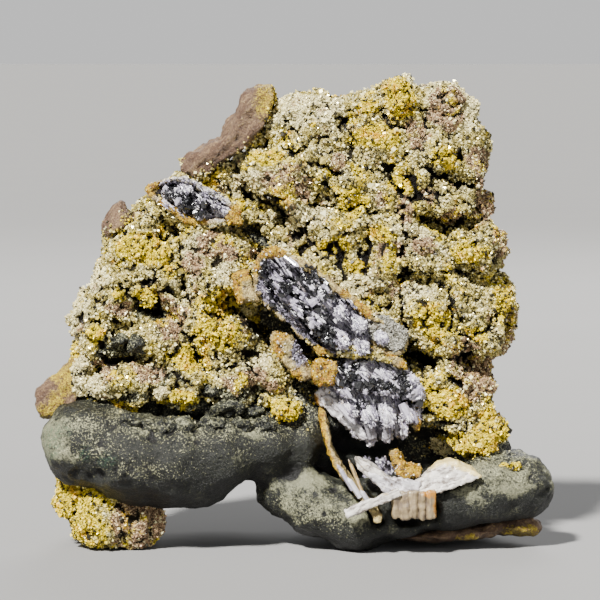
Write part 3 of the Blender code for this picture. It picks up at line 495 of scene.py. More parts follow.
class Growth:
    """Many small crystals, gathered into one mesh. Each has its own marks and cell of the baking map."""

    CELL_REACH = 0.42  # from the middle of a cell to a face's corners, as a part of its width

    def __init__(self):
        self.places, self.faces, self.marks = [], {}, {}
        self.corners, self.crystals = 0, 0

    def add(self, shape, middles, turns, sizes, **marks):
        """Adds a copy of a shape at each middle, turned and stretched, with a value of each mark."""
        corners, faces = shape
        count, each = len(middles), len(corners)
        if not count:
            return
        placed = np.einsum("nij,nvj->nvi", turns, corners[None] * sizes[:, None, :]) + middles[:, None, :]
        self.places.append(placed.reshape(-1, 3))
        first = self.corners + np.arange(count)[:, None, None] * each
        for part in faces:
            group = self.faces.setdefault(part.shape[1], [])
            owner = np.repeat(self.crystals + np.arange(count), len(part))
            group.append(((first + part[None]).reshape(-1, part.shape[1]), owner))
        for name, values in marks.items():
            self.marks.setdefault(name, []).append(np.repeat(values, each))
        self.corners += count * each
        self.crystals += count

    def mesh(self, name):
        """The crystals so far, as one mesh."""
        groups = [
            (np.concatenate([rows for rows, _ in parts]), np.concatenate([owner for _, owner in parts]))
            for parts in self.faces.values()
        ]
        mesh = mesh_from(name, np.concatenate(self.places), [rows for rows, _ in groups])
        for mark_name, values in self.marks.items():
            mark(mesh, mark_name, np.concatenate(values))
        layer = mesh.uv_layers.new(name="OFBake")
        baking_map = np.concatenate([self.laid_out(rows.shape[1], owner) for rows, owner in groups])
        layer.uv.foreach_set("vector", baking_map.astype(np.float32).ravel())
        return mesh

    def laid_out(self, sides, owner):
        """Where corners of faces with that many sides lie on the baking map, in their crystals' cells."""
        across = math.ceil(math.sqrt(self.crystals))
        turns = (np.arange(sides) + 0.5) * math.tau / sides
        ring = np.stack([np.cos(turns), np.sin(turns)], axis=1) * self.CELL_REACH + 0.5
        cell = np.stack([owner % across, owner // across], axis=1)
        return ((cell[:, None, :] + ring[None]) / across).reshape(-1, 2)


# Finishes


class Wire:
    """A shader socket that takes Python arithmetic, each step of which is a Math node."""

    def __init__(self, finish, socket):
        self.finish, self.socket = finish, socket

    def maths(self, operation, *values):
        """A step of arithmetic."""
        return self.finish.node("ShaderNodeMath", {"operation": operation}, dict(enumerate(values)))

    def __add__(self, other):
        return self.maths("ADD", self, other)

    def __sub__(self, other):
        return self.maths("SUBTRACT", self, other)

    def __rsub__(self, other):
        return self.maths("SUBTRACT", other, self)

    def __mul__(self, other):
        return self.maths("MULTIPLY", self, other)

    __radd__ = __add__
    __rmul__ = __mul__

    def over(self, low, high):
        """0 at low and below, 1 at high and above, and eased between them. low may be above high."""
        inputs = {"Value": self, "From Min": low, "From Max": high}
        return self.finish.node("ShaderNodeMapRange", {"interpolation_type": "SMOOTHSTEP"}, inputs)


class Nodes:
    """The nodes of a material or of the sky."""

    def __init__(self, tree):
        self.tree = tree

    def node(self, kind, settings=None, inputs=None, output=0):
        """Adds a node with its settings, then its sockets' values and links, and gives one of its outputs."""
        node = self.tree.nodes.new(kind)
        for name, value in (settings or {}).items():
            setattr(node, name, value)
        for name, value in (inputs or {}).items():
            self.join(node.inputs[name], value)
        return Wire(self, node.outputs[output])

    def join(self, socket, value):
        """Links a wire to a socket, or sets the socket to a plain value."""
        if isinstance(value, Wire):
            self.tree.links.new(value.socket, socket)
        else:
            socket.default_value = value


class Finish(Nodes):
    """One material, and the nodes that work out its colour, gloss and fine relief."""

    def __init__(self, name, **sockets):
        self.material = bpy.data.materials.new(name)
        self.material.use_nodes = True
        super().__init__(self.material.node_tree)
        self.surface = self.tree.nodes["Principled BSDF"]
        metres = self.node("ShaderNodeTexCoord", output="Object")
        self.place = self.vectors("SCALE", metres, Scale=1 / MM)
        self.set(**sockets)

    def vectors(self, operation, *values, output=0, **named):
        """A step of vector maths."""
        inputs = {**dict(enumerate(values)), **named}
        return self.node("ShaderNodeVectorMath", {"operation": operation}, inputs, output)

    def set(self, **sockets):
        """Sets the surface's sockets, named with _ for a space."""
        for name, value in sockets.items():
            self.join(self.surface.inputs[name.replace("_", " ")], value)
        return self.material

    def streaked(self, direction, squeeze):
        """The place in millimetres, squeezed along a direction, so that noise streaks that way."""
        line = tuple(Vector(direction).normalized())
        along = self.vectors("DOT_PRODUCT", self.place, line, output="Value")
        return self.vectors("ADD", self.place, self.vectors("SCALE", line, Scale=along * (squeeze - 1.0)))

    def cloud(self, size, detail=3.0, roughness=0.55, twist=0.0, place=None):
        """Cloudy noise, 0 to 1, whose largest swells are size millimetres across."""
        inputs = {"Scale": 1 / size, "Detail": detail, "Roughness": roughness, "Distortion": twist}
        return self.node("ShaderNodeTexNoise", None, {"Vector": place or self.place, **inputs})

    def marked(self, name):
        """What mark() kept under a name, or 0 where it kept nothing."""
        return self.node("ShaderNodeAttribute", {"attribute_name": name}, None, "Fac")

    def mix(self, factor, first, second):
        """first where factor is 0 and second where it is 1, as colours."""
        inputs = {"Factor": factor, 6: tinted(first), 7: tinted(second)}
        return self.node("ShaderNodeMix", {"data_type": "RGBA"}, inputs, 2)

    def shade(self, colour, amount):
        """The colour times a number."""
        grey = self.node("ShaderNodeCombineColor", None, {0: amount, 1: amount, 2: amount})
        inputs = {"Factor": 1.0, 6: tinted(colour), 7: grey}
        return self.node("ShaderNodeMix", {"data_type": "RGBA", "blend_type": "MULTIPLY"}, inputs, 2)

    def relief(self, height, depth, below=None):
        """A normal for relief that is depth millimetres high."""
        inputs = {"Height": height, "Distance": depth * MM, "Strength": 1.0}
        if below is not None:
            inputs["Normal"] = below
        return self.node("ShaderNodeBump", None, inputs)


def tinted(colour):
    """A colour as a socket takes it."""
    return colour if isinstance(colour, Wire) else (*colour[:3], 1.0)


# Fixed colours, as linear light
# The rock's hollow dark is painted shade.
ROCK_GAP, ROCK_HOLLOW_SHADE = (0.003, 0.003, 0.002), (0.004, 0.004, 0.003)
# Both pyrite darks are painted shade: in hollows, and near black in crevices.
PYRITE_HOLLOW_SHADE, PYRITE_CREVICE_SHADE = (0.012, 0.009, 0.004), (0.003, 0.002, 0.001)
# The sunken grain is painted shade on grains in crevices.
DARK_GRAIN, CREVICE_GRAIN_SHADE = (0.02, 0.016, 0.006), (0.010, 0.007, 0.003)
# Both hollow darks are painted shade.
BROWN_HOLLOW_SHADE, STAINED_HOLLOW_SHADE = (0.02, 0.012, 0.008), (0.03, 0.012, 0.004)
# The dark seam is black crystal and seams, with painted shade in hollows.
DARK_CRUMB, SEAM_BLACK_AND_SHADE = (0.03, 0.015, 0.006), (0.006, 0.005, 0.008)
# The dark sugar is black and dark crystal, with painted shade in hollows.
SUGAR_BLACK_AND_SHADE, BLACK_SUGAR = (0.010, 0.009, 0.013), (0.012, 0.010, 0.014)
DARK_LATH, LATH_SEAM, SMOKE = (0.06, 0.055, 0.075), (0.05, 0.048, 0.06), (0.20, 0.185, 0.19)
# The blade's hollow dark is painted shade.
BLADE_SEAM, BLADE_HOLLOW_SHADE = (0.16, 0.12, 0.08), (0.10, 0.07, 0.05)
# The bright crumb is a painted highlight.
GREEN_SHEEN, BLEACHED, CRUMB_HIGHLIGHT = (0.03, 0.12, 0.06), (1.0, 0.95, 0.88), (0.95, 0.92, 0.84)
BROWN_OCHRE, PLATE_GREY, PLATE_PALE = (0.42, 0.23, 0.03), (0.44, 0.44, 0.37), (0.56, 0.55, 0.48)
PLATE_DARK, BLACK_GLINT = (0.13, 0.13, 0.10), (0.34, 0.32, 0.38)
# The brown rinds' layers run this way
LAYERED = (0.70, 0.0, 0.714)


def mudstone_finish(settings):
    """Nearly black grey-green stone with sage mottling, a waxy gloss, and pale flecks near the crust, partly
    painted glints.
    """
    stone = Finish("mudstone", Specular_IOR_Level=0.35)
    broad, fine = stone.cloud(5.0, 6.0, 0.65), stone.cloud(0.6, 4.0, 0.7)
    colour = stone.mix(fine.over(0.35, 0.7), settings.rock_colour, settings.rock_grey)
    # Moss and sage follow the sage mark, which is partly painted top light and painted shade.
    moss = (stone.marked("sage") * 0.8 + (broad - 0.5) * 3.4 + (fine - 0.5) * 1.8).over(0.12, 1.0)
    colour = stone.mix(moss, colour, stone.shade(settings.rock_moss, 0.4 + fine * 1.2))
    sage = (stone.marked("sage") * 0.9 + (broad - 0.5) * 3.6 + (fine - 0.5) * 1.8).over(0.42, 1.05)
    colour = stone.mix(sage, colour, stone.shade(settings.rock_dust, 0.5 + fine * 1.0))
    colour = stone.mix(stone.marked("green") * fine.over(0.45, 0.6) * 0.6, colour, GREEN_SHEEN)
    # Pale flecks, partly the rock's own specks and partly painted glints.
    speck = stone.cloud(0.42, 3.0, 0.75)
    fleck_and_glint = (speck + stone.marked("flecked") * 0.09 + (broad - 0.5) * 0.22).over(0.645, 0.685)
    colour = stone.mix(fleck_and_glint, colour, stone.shade(settings.rock_fleck, 0.7 + fine * 1.2))
    gap = (speck - stone.marked("flecked") * 0.09).over(0.36, 0.30)
    colour = stone.mix(gap, colour, ROCK_GAP)
    # Painted shade in the hollows and on what faces down.
    colour = stone.mix(stone.marked("hollow").over(0.56, 0.8), colour, ROCK_HOLLOW_SHADE)
    colour = stone.shade(colour, 0.51 - stone.marked("under") * 0.43)
    relief = stone.relief(broad * 1.6 + fine, 0.45)
    relief = stone.relief(speck, 0.25, relief)
    return stone.set(Base_Color=colour, Roughness=0.28 + fine * 0.32 + fleck_and_glint * 0.15, Normal=relief)


def pyrite_colour(pyrite, settings, tone):
    """Olive to cream pyrite with silvery, golden and worn pinkish-brown parts, times a tone."""
    cloud, drift = pyrite.cloud(1.5, 4.0, 0.65), pyrite.cloud(5.0, 3.0, 0.6)
    other = pyrite.cloud(4.0, 3.0, 0.6, 0.0, pyrite.vectors("ADD", pyrite.place, (31.0, 17.0, 5.0)))
    gold, pale, worn = (pyrite.marked(name) for name in ("gold", "pale", "worn"))
    golden = pyrite.mix(other.over(0.53, 0.66), settings.gold, settings.amber)
    speckle = (cloud - 0.5) * 0.7
    colour = pyrite.mix(cloud.over(0.38, 0.62), settings.olive, settings.cream)
    silvery = (pale * 0.34 - drift + 0.5 + speckle).over(0.06, 0.22)
    pinkish = (worn * 0.36 + other - 0.5 - gold * 0.2 + speckle).over(0.08, 0.24)
    brassy = (gold * 0.34 + drift - 0.5 - pale * 0.2 + speckle).over(0.03, 0.17)
    colour = pyrite.mix(silvery, colour, settings.silver)
    colour = pyrite.mix(pinkish, colour, settings.worn)
    return pyrite.shade(pyrite.mix(brassy, colour, golden), tone)


def pyrite_finish(settings):
    """The skin of the crust: wormy crests with dark gaps of painted shade, under and between the grains."""
    pyrite = Finish("pyrite_crust", Specular_IOR_Level=0.12)
    crests, fine = pyrite.cloud(0.55, 2.5, 0.6, 1.3), pyrite.cloud(0.25, 2.0, 0.6)
    # The tone is darkest where the crests' relief is low, as painted shade between them, and lifted on pale
    # patches.
    tone = 0.03 + crests.over(0.42, 0.56) * 0.72 + fine * 0.2 + pyrite.marked("pale") * 0.12
    colour = pyrite_colour(pyrite, settings, tone)
    # Painted highlights on the tops of the crests, fewer on the golden parts.
    colour = pyrite.mix(crests.over(0.58, 0.66) * (0.8 - pyrite.marked("gold") * 0.5), colour, settings.glint)
    stony = (pyrite.marked("stony") + (crests - 0.5) * 1.4).over(0.35, 0.75)
    colour = pyrite.mix(stony, colour, pyrite.shade(settings.rock_dust, 0.03 + crests.over(0.48, 0.66) * 1.1))
    # Painted shade in the hollows, and near black painted shade in the crevices and cracks.
    hollow_shade = (pyrite.marked("hollow") - (crests - 0.5) * 0.7).over(0.55, 0.76)
    colour = pyrite.mix(hollow_shade, colour, PYRITE_HOLLOW_SHADE)
    colour = pyrite.mix(pyrite.marked("pit").over(0.2, 0.8), colour, PYRITE_CREVICE_SHADE)
    relief = pyrite.relief(crests * 1.5 + fine * 0.4, 0.55)
    return pyrite.set(Base_Color=colour, Roughness=0.40 + fine * 0.3, Normal=relief)


def grain_finish(settings):
    """The small crystals on the crust. Each is one shade, and the brightest glint."""
    grains = Finish("pyrite_grains", Metallic=0.3)
    glint = grains.marked("glint")
    # Grains in hollows are darkened as painted shade.
    sunken_shade = grains.marked("hollow").over(0.54, 0.80) * 0.88
    tone = (0.24 + glint * 0.95 + grains.marked("pale") * 0.15) * (1.0 - sunken_shade)
    colour = pyrite_colour(grains, settings, tone)
    stony = (grains.marked("stony") + (glint - 0.5) * 0.8).over(0.3, 0.8)
    colour = grains.mix(stony, colour, grains.shade(settings.rock_dust, glint.over(0.3, 1.0) * 1.3))
    colour = grains.mix(glint.over(0.77, 0.86) * (0.9 - grains.marked("gold") * 0.55), colour, settings.glint)
    colour = grains.mix(glint.over(0.22, 0.13), colour, DARK_GRAIN)
    # Grains in crevices and cracks are near black, as painted shade.
    colour = grains.mix(grains.marked("pit").over(0.1, 0.7), colour, CREVICE_GRAIN_SHADE)
    return grains.set(Base_Color=colour, Roughness=0.22 + (1 - glint) * 0.3)


def brown_finish(settings):
    """Pinkish-brown rind, wrinkled, with pale dust and yellow stains."""
    rind = Finish("brown_rind")
    broad = rind.cloud(1.8, 5.0, 0.65, 0.4, rind.streaked(LAYERED, 0.25))
    fine = rind.cloud(0.5, 4.0, 0.7, 0.6)
    colour = rind.mix((broad + (fine - 0.5) * 0.6).over(0.38, 0.64), settings.brown, settings.tan)
    ochre = rind.mix(fine.over(0.42, 0.60), BROWN_OCHRE, settings.gold)
    golden = (rind.marked("gold") + (fine - 0.5) * 1.6 + (broad - 0.5)).over(0.15, 0.8)
    colour = rind.mix(golden, colour, ochre)
    colour = rind.mix((fine + broad * 0.4).over(0.82, 0.94) * 0.6, colour, settings.silver)
    # Painted shade in the hollows and on what faces down.
    colour = rind.mix(rind.marked("hollow").over(0.68, 0.98), colour, BROWN_HOLLOW_SHADE)
    colour = rind.shade(colour, (0.15 + fine * 0.62) * (1.0 - rind.marked("under") * 0.6))
    relief = rind.relief(broad + fine * 1.4, 0.5)
    return rind.set(Base_Color=colour, Roughness=0.45 + fine * 0.3, Normal=relief)


def rind_colour(rind, settings, ragged_by):
    """Cream to pinkish rind with orange and yellow iron stains."""
    broad = rind.cloud(1.6, 4.0, 0.65)
    colour = rind.mix(broad.over(0.38, 0.62), settings.rind_pink, settings.rind_cream)
    yellow = rind.mix(rind.cloud(0.8, 4.0, 0.65).over(0.38, 0.56), settings.rind_orange, settings.rind_yellow)
    stained = (rind.marked("stain") + (broad - 0.5) * 1.4 + ragged_by).over(0.25, 0.85)
    return rind.mix(stained, colour, yellow)


def stained_finish(settings):
    """Cream and orange rind that turns to pyrite outside its crest and to dark lilac crystal inside."""
    rind = Finish("stained_rind")
    fine, crests = rind.cloud(0.35, 4.0, 0.7), rind.cloud(0.75, 2.5, 0.6, 1.3)
    colour = rind_colour(rind, settings, (fine - 0.5) * 0.9)
    colour = rind.mix(rind.marked("bleached") * 0.85, colour, BLEACHED)
    pyrite = pyrite_colour(rind, settings, 0.12 + crests.over(0.42, 0.56) * 1.0)
    colour = rind.mix((rind.marked("crust") + (crests - 0.5) * 0.9).over(0.35, 0.65), colour, pyrite)
    sugar = rind.mix(crests.over(0.46, 0.60), BLACK_SUGAR, settings.lilac)
    colour = rind.mix((rind.marked("inner") + (crests - 0.5) * 0.9).over(0.35, 0.65), colour, sugar)
    plate = rind.mix(crests.over(0.42, 0.6), PLATE_DARK, PLATE_PALE)
    colour = rind.mix(rind.marked("plate") * 0.9, colour, plate)
    # Painted shade in the hollows and on what faces down.
    colour = rind.mix(rind.marked("hollow").over(0.58, 0.85), colour, STAINED_HOLLOW_SHADE)
    tone = 0.10 + crests.over(0.40, 0.60) * 0.42 + fine * 0.34
    colour = rind.shade(colour, tone * (1.0 - rind.marked("under") * 0.5))
    relief = rind.relief(crests + fine * 0.8, 0.5)
    return rind.set(Base_Color=colour, Roughness=0.35 + fine * 0.35, Normal=relief)


def crumb_finish(settings):
    """The crumbs on the rinds: cream, pinkish, orange and yellow, or grey-green on the plate."""
    crumbs = Finish("rind_crumbs", Specular_IOR_Level=0.6)
    glint = crumbs.marked("glint")
    colour = rind_colour(crumbs, settings, (glint - 0.5) * 0.7)
    colour = crumbs.mix(crumbs.marked("bleached") * 0.85, colour, BLEACHED)
    colour = crumbs.mix(crumbs.marked("plate"), colour, PLATE_GREY)
    colour = crumbs.mix((crumbs.marked("inner") + (glint - 0.5) * 0.5).over(0.3, 0.7), colour, settings.lilac)
    # Painted highlights on the brightest crumbs, and painted shade on those in hollows.
    colour = crumbs.mix(glint.over(0.84, 0.92) * 0.85, colour, CRUMB_HIGHLIGHT)
    tone = (0.17 + glint * 0.55) * (1.0 - crumbs.marked("hollow").over(0.6, 0.85) * 0.8)
    colour = crumbs.mix(glint.over(0.14, 0.08), crumbs.shade(colour, tone), DARK_CRUMB)
    return crumbs.set(Base_Color=colour, Roughness=0.25 + (1 - glint) * 0.3)


def bed_finish(settings, lean):
    """The sugary ground that the laths grow from: lilac and white, with dark seams along their lean."""
    bed = Finish("crystal_bed", Coat_Weight=0.2, Coat_Roughness=0.12)
    streak = bed.cloud(0.75, 3.0, 0.65, 0.6, bed.streaked(lean, 0.35))
    fine = bed.cloud(0.3, 3.0, 0.7)
    colour = bed.mix(streak.over(0.44, 0.62), settings.lilac, settings.white)
    colour = bed.mix((bed.marked("stain") + (streak - 0.5)).over(0.45, 0.8), colour, settings.rind_pink)
    # Dark among the black crystals and along the seams, and painted shade in the hollows.
    dark = bed.marked("black") * 1.4 + bed.marked("hollow") * 0.45 + (0.5 - streak) * 2.0
    colour = bed.mix(dark.over(0.58, 0.90), colour, SEAM_BLACK_AND_SHADE)
    colour = bed.shade(colour, 0.42 + fine * 0.8)
    relief = bed.relief(streak + fine * 0.6, 0.5)
    return bed.set(Base_Color=colour, Roughness=0.25 + fine * 0.2, Normal=relief)


def sugar_finish(settings):
    """The small crystals on the beds, lilac to white, and near black among the black crystals."""
    sugar = Finish("sugar", Specular_IOR_Level=0.7, Coat_Weight=0.2, Coat_Roughness=0.1)
    glint = sugar.marked("glint")
    colour = sugar.mix(glint.over(0.35, 0.95), settings.lilac, settings.white)
    stained = (sugar.marked("stain") + (glint - 0.5) * 0.6).over(0.45, 0.85)
    colour = sugar.mix(stained, colour, settings.rind_pink)
    # Dark among the black crystals and on the darkest crystals, and painted shade in the hollows.
    dark = sugar.marked("black") + sugar.marked("hollow").over(0.55, 0.9) * 0.3 - glint * 0.75
    colour = sugar.mix(dark.over(-0.10, 0.15), colour, SUGAR_BLACK_AND_SHADE)
    return sugar.set(Base_Color=sugar.shade(colour, 0.25 + glint * 0.65), Roughness=0.16 + (1 - glint) * 0.25)


def lath_finish(settings, lean):
    """Glassy laths, near black to lilac to white, smoky in places and streaked along their length."""
    glass = Finish("white_crystal", Specular_IOR_Level=0.7, Coat_Weight=0.25, Coat_Roughness=0.08)
    streak = glass.cloud(0.42, 3.0, 0.65, 0.4, glass.streaked(lean, 0.3))
    glint = glass.marked("glint")
    colour = glass.mix(glint.over(0.15, 0.45), DARK_LATH, settings.lilac)
    colour = glass.mix(glint.over(0.50, 1.15), colour, settings.white)
    colour = glass.mix(glass.marked("smoky") * 0.85, colour, SMOKE)
    stained = (glass.marked("stain") + (streak - 0.5) * 0.8).over(0.5, 0.85)
    colour = glass.mix(stained, colour, settings.rind_pink)
    colour = glass.mix((streak + (0.5 - glint) * 0.3).over(0.50, 0.60) * 0.8, colour, LATH_SEAM)
    colour = glass.mix(streak.over(0.42, 0.34) * 0.5, colour, settings.white)
    colour = glass.shade(colour, 0.75)
    return glass.set(Base_Color=colour, Roughness=0.16 + streak * 0.25, Normal=glass.relief(streak, 0.15))


def black_finish(settings):
    """Black crystals with a resinous gloss, a few of them glinting."""
    black = Finish("black_crystal", Specular_IOR_Level=0.8, Coat_Weight=0.5, Coat_Roughness=0.06)
    glint, fine = black.marked("glint"), black.cloud(0.4, 3.0, 0.6)
    colour = black.mix(glint.over(0.86, 0.95), settings.black, BLACK_GLINT)
    colour = black.shade(colour, 0.6 + fine * 0.8)
    return black.set(Base_Color=colour, Roughness=0.12 + fine * 0.2, Normal=black.relief(fine, 0.05))


def blade_finish(settings, lean, name, pale, deep):
    """Satin blades with long faint ridges, a few smoky seams and cream patches."""
    blade = Finish(name, Specular_IOR_Level=0.6, Coat_Weight=0.15, Coat_Roughness=0.15)
    ridge = blade.cloud(0.8, 3.0, 0.6, 0.3, blade.streaked(lean, 0.22))
    fine = blade.cloud(0.35, 3.0, 0.7)
    colour = blade.mix(ridge.over(0.42, 0.64) * 0.9, pale, deep)
    colour = blade.mix((ridge + fine * 0.3).over(0.68, 0.78) * 0.8, colour, BLADE_SEAM)
    for stain, tint in (("stain", settings.rind_cream), ("rust", settings.rind_orange)):
        colour = blade.mix((blade.marked(stain) + (fine - 0.5) * 1.2).over(0.2, 1.0), colour, tint)
    # Painted shade in the hollows.
    colour = blade.mix(blade.marked("hollow").over(0.60, 0.85) * 0.8, colour, BLADE_HOLLOW_SHADE)
    colour = blade.shade(colour, 0.45 + fine * 0.55)
    relief = blade.relief(ridge + fine * 0.6, 0.2)
    return blade.set(Base_Color=colour, Roughness=0.22 + fine * 0.3, Normal=relief)


# What a user would change


def swatch(name, default):
    """A colour that a user can change."""
    told = f"{name}, as linear light"
    return FloatVectorProperty(name=name, description=told, default=default, subtype="COLOR")


def length(name, description, millimetres):
    """A length that a user can change."""
    return FloatProperty(name=name, description=description, default=millimetres * MM, unit="LENGTH")


def number(name, description, default):
    """A whole number that a user can change."""
    return IntProperty(name=name, description=description, default=default)


class SpecimenColours(bpy.types.PropertyGroup):
    """Colours of the minerals."""

    rock_colour: swatch("Dark mudstone", (0.005, 0.006, 0.004))
    rock_grey: swatch("Grey in the mudstone", (0.030, 0.033, 0.023))
    rock_fleck: swatch("Pale flecks on the mudstone", (0.440, 0.430, 0.252))
    rock_moss: swatch("Green-grey of the mudstone", (0.070, 0.074, 0.042))
    rock_dust: swatch("Sage dust on the mudstone", (0.310, 0.310, 0.189))
    olive: swatch("Olive pyrite", (0.44, 0.36, 0.10))
    cream: swatch("Cream pyrite", (0.80, 0.67, 0.20))
    silver: swatch("Silvery pyrite", (0.84, 0.74, 0.37))
    gold: swatch("Golden pyrite", (0.92, 0.70, 0.015))
    amber: swatch("Amber pyrite", (0.84, 0.48, 0.008))
    glint: swatch("Glints on the pyrite", (1.0, 0.94, 0.54))
    worn: swatch("Worn pinkish-brown pyrite", (0.44, 0.28, 0.155))
    brown: swatch("Brown rind", (0.17, 0.085, 0.045))
    tan: swatch("Tan on the brown rind", (0.40, 0.245, 0.13))
    rind_pink: swatch("Pinkish rind", (0.52, 0.36, 0.14))
    rind_cream: swatch("Cream rind", (0.82, 0.65, 0.25))
    rind_orange: swatch("Orange iron stain", (0.44, 0.18, 0.004))
    rind_yellow: swatch("Yellow iron stain", (0.80, 0.50, 0.008))
    black: swatch("Black crystal", (0.005, 0.005, 0.006))
    lilac: swatch("Lilac crystal", (0.37, 0.33, 0.44))
    white: swatch("White crystal", (0.90, 0.88, 0.90))


class SpecimenSizes(bpy.types.PropertyGroup):
    """Sizes of the dense skins and of the small crystals."""

    crust_grid: length("Crust grid", "Spacing of the crust's corners", 0.59)
    rock_grid: length("Rock grid", "Spacing of the rock's corners", 1.0)
    fine_grid: length("Fine grid", "Spacing of the rinds' corners", 0.38)
    grains: number("Grains", "Small crystals in each full spread of the crust", 14800)
    grain: length("Grain", "Middle size of a pyrite grain", 0.39)
    seed: number("Seed", "Which of the random arrangements is grown", 7)


def colours():
    """The colours as the user has set them."""
    return bpy.context.scene.specimen_colours


def sizes():
    """The sizes as the user has set them."""
    return bpy.context.scene.specimen_sizes


# The pieces


def roughened(mesh, swells, seed=0.0):
    """Pushes a mesh in and out by cloudy noise: (size, height) of each layer. Gives its places and facing."""
    places, facing = corners_of(mesh), facing_of(mesh)
    for size, height in swells:
        places = places + facing * (wander(places, size, 3, seed) * height)[:, None]
    move_corners(mesh, places)
    return places, facing_of(mesh)


def frontness(facing):
    """1 on what faces the front and 0 on what faces away."""
    return unit(0.55 - facing[:, 1] * 1.6)


def underness(facing):
    """1 on what faces down."""
    return unit(-facing[:, 2] * 1.5 - 0.3)


def keep_shade(mesh, places, facing, rounds, depth):
    """Marks what lies in hollows and what faces down, which the finishes darken as painted shade."""
    mark(mesh, "hollow", hollowness(mesh, places, facing, rounds, depth))
    mark(mesh, "under", underness(facing))


def away_from(node, places):
    """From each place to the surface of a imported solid."""
    solid = frame["nodes"][node].data
    corners = [vert.co / MM for vert in solid.vertices]
    tree = BVHTree.FromPolygons(corners, [list(face.vertices) for face in solid.polygons])
    return np.array([tree.find_nearest(Vector(place), 30.0)[3] or 30.0 for place in places])


def break_back(mesh):
    """Breaks the rock's back into large blocks with fine cracks between them."""
    places, facing = corners_of(mesh), facing_of(mesh)
    back = unit(facing[:, 1] * 2.0) * unit(places[:, 2] / 8.0)
    blocks = seams(places + pushes(places, 12.0, 3, (2.0, 6.0, 11.0)) * 7.0, 24.0, 2.0)
    cracks = unit(1.0 - blocks / 0.05) * 0.5
    swell = blocks * 1.2 + wander(places, 26.0, 2, 8.0) * 1.6 - cracks
    move_corners(mesh, places + facing * (back * swell)[:, None])


def pitted(places, facing, shown, front):
    """The places with the rock's pits sunk into its front, each with a low rim."""
    for across, up, radius, depth in ROCK_PITS:
        reach = np.hypot(shown[:, 0] - across, shown[:, 1] - up) / radius
        pit = unit(1.3 - reach) * front
        rim = np.exp(-(((reach - 1.25) / 0.3) ** 2)) * front
        places = places - facing * (pit * depth - rim * 0.15)[:, None]
    return places


class SPECIMEN_OT_rock(bpy.types.Operator):
    """Dresses the dark mudstone and its two rounded lobes"""

    bl_idname = "specimen.rock"
    bl_label = "Mudstone"

    def execute(self, context):
        mesh = dense_copy("host_rock", sizes().rock_grid / MM, 6)
        break_back(mesh)
        places, facing = roughened(mesh, [(11.0, 0.5), (3.2, 0.30), (1.6, 0.16)])
        shown, front = ragged(places, 0.8, 1.6), frontness(facing)
        near_crust = unit(1.0 - away_from("pyrite_crust", places) / 6.0)
        flecked = unit(patches(shown, FLECKED_PATCHES, 0.9) * front + near_crust * 1.2)
        flecked *= 1.0 - underness(facing)
        bumps = (domes(places, 3.0, 6.0) - 0.5) * 0.6 + (domes(places, 1.7, 9.0) - 0.5) * 0.35
        places = pitted(places + facing * (bumps * flecked)[:, None], facing, shown, front)
        places[:, 2] = np.maximum(places[:, 2], 0.0)
        move_corners(mesh, places)
        facing = facing_of(mesh)
        keep_shade(mesh, places, facing, 8, 0.5)
        # The sage patches, plus sage dust and painted top light on what faces up, and none on what faces
        # down, as painted shade.
        sage_dust_and_top_light = patches(shown, SAGE_PATCHES, 0.9) * front + unit(facing[:, 2]) * 0.1
        mark(mesh, "sage", sage_dust_and_top_light - underness(facing))
        mark(mesh, "green", patches(shown, GREEN_PATCHES) * front)
        mark(mesh, "flecked", flecked)
        bordering = unit(near_crust * 1.6 - 0.5)
        fringe = bordering * unit(0.3 - facing[:, 1] * 2.0)
        mark(mesh, "fringe", fringe)
        mark(mesh, "crusted", bordering * unit(0.5 + wander(places, 3.0, 3, 4.0) * 2.0))
        stony = fringe * unit(0.7 + wander(places, 2.4, 3, 7.0) * 1.6)
        keep_crust_marks(mesh, places, facing, 0.0, stony)
        piece_from(mesh, ["host_rock"], mudstone_finish(colours()), True)
        return {"FINISHED"}


CRUST_MARKS = ("gold", "pale", "worn", "pit", "stony")


def keep_crust_marks(mesh, places, facing, cracks=0.0, stony=0.0):
    """Marks where pyrite that grows here is golden, pale, worn, open and like the rock."""
    shown, front = ragged(places, 1.2), frontness(facing)
    spread, back = wander(places, 9.0, 2, 21.0), 1.0 - front
    rubble = patches(ragged(places, 2.2, 3.5), DARK_PATCHES, 0.9) * front
    opened = crevices(shown, CREVICES)[0] * front
    values = (
        patches(shown, GOLD_PATCHES) * front + back * unit(spread * 2.0 - 0.4),
        patches(shown, PALE_PATCHES) * front + back * unit(-spread * 2.0 - 0.3),
        patches(shown, WORN_PATCHES) * front,
        np.maximum(opened, cracks),
        np.maximum(rubble, stony),
    )
    for name, value in zip(CRUST_MARKS, values):
        mark(mesh, name, value)


def swollen(mesh, seed, knobs):
    """The places of a mesh swelled into knobs on knobs, (size, height) of each layer, and its facing."""
    places, facing = corners_of(mesh), facing_of(mesh)
    warp = pushes(places, 2.4, 2, (seed, seed + 5, seed + 9))
    height = np.zeros(len(places))
    for size, tall in knobs:
        height += (domes(places + warp * 0.22 * size, size, seed + size) - 0.6) * tall
    return places + facing * height[:, None], facing


def split_blocks(places, size, seed):
    """Blocks with cracks between some of them: how crowned each place is, and how cracked."""
    warp = pushes(places, 4.5, 3, (seed + 1, seed + 4, seed + 8))
    seam = seams(places + warp * 1.8, size, seed)
    broken = unit(wander(places, 13.0, 2, seed + 2.0) * 2.0 + 0.9)
    return np.sqrt(unit(seam / 0.45)), unit(1.3 - seam / 0.045) * broken


# Where the crust's knobs stand out most, and (size, height) of each layer of knobs on it and on the foot
KNOBBY = [
    (-31.0, 52.0, 24.0, 22.0), (36.0, 58.0, 17.0, 30.0), (32.0, 28.0, 14.0, 11.0), (-6.0, 68.0, 9.0, 7.0),
]
CRUST_KNOBS = [(5.0, 0.5), (2.7, 0.65), (1.45, 0.5)]
FOOT_KNOBS = [(4.5, 1.0), (2.2, 0.9), (1.2, 0.45)]
FOOT_SINKS = 0.6  # how far the foot's top runs into the rock


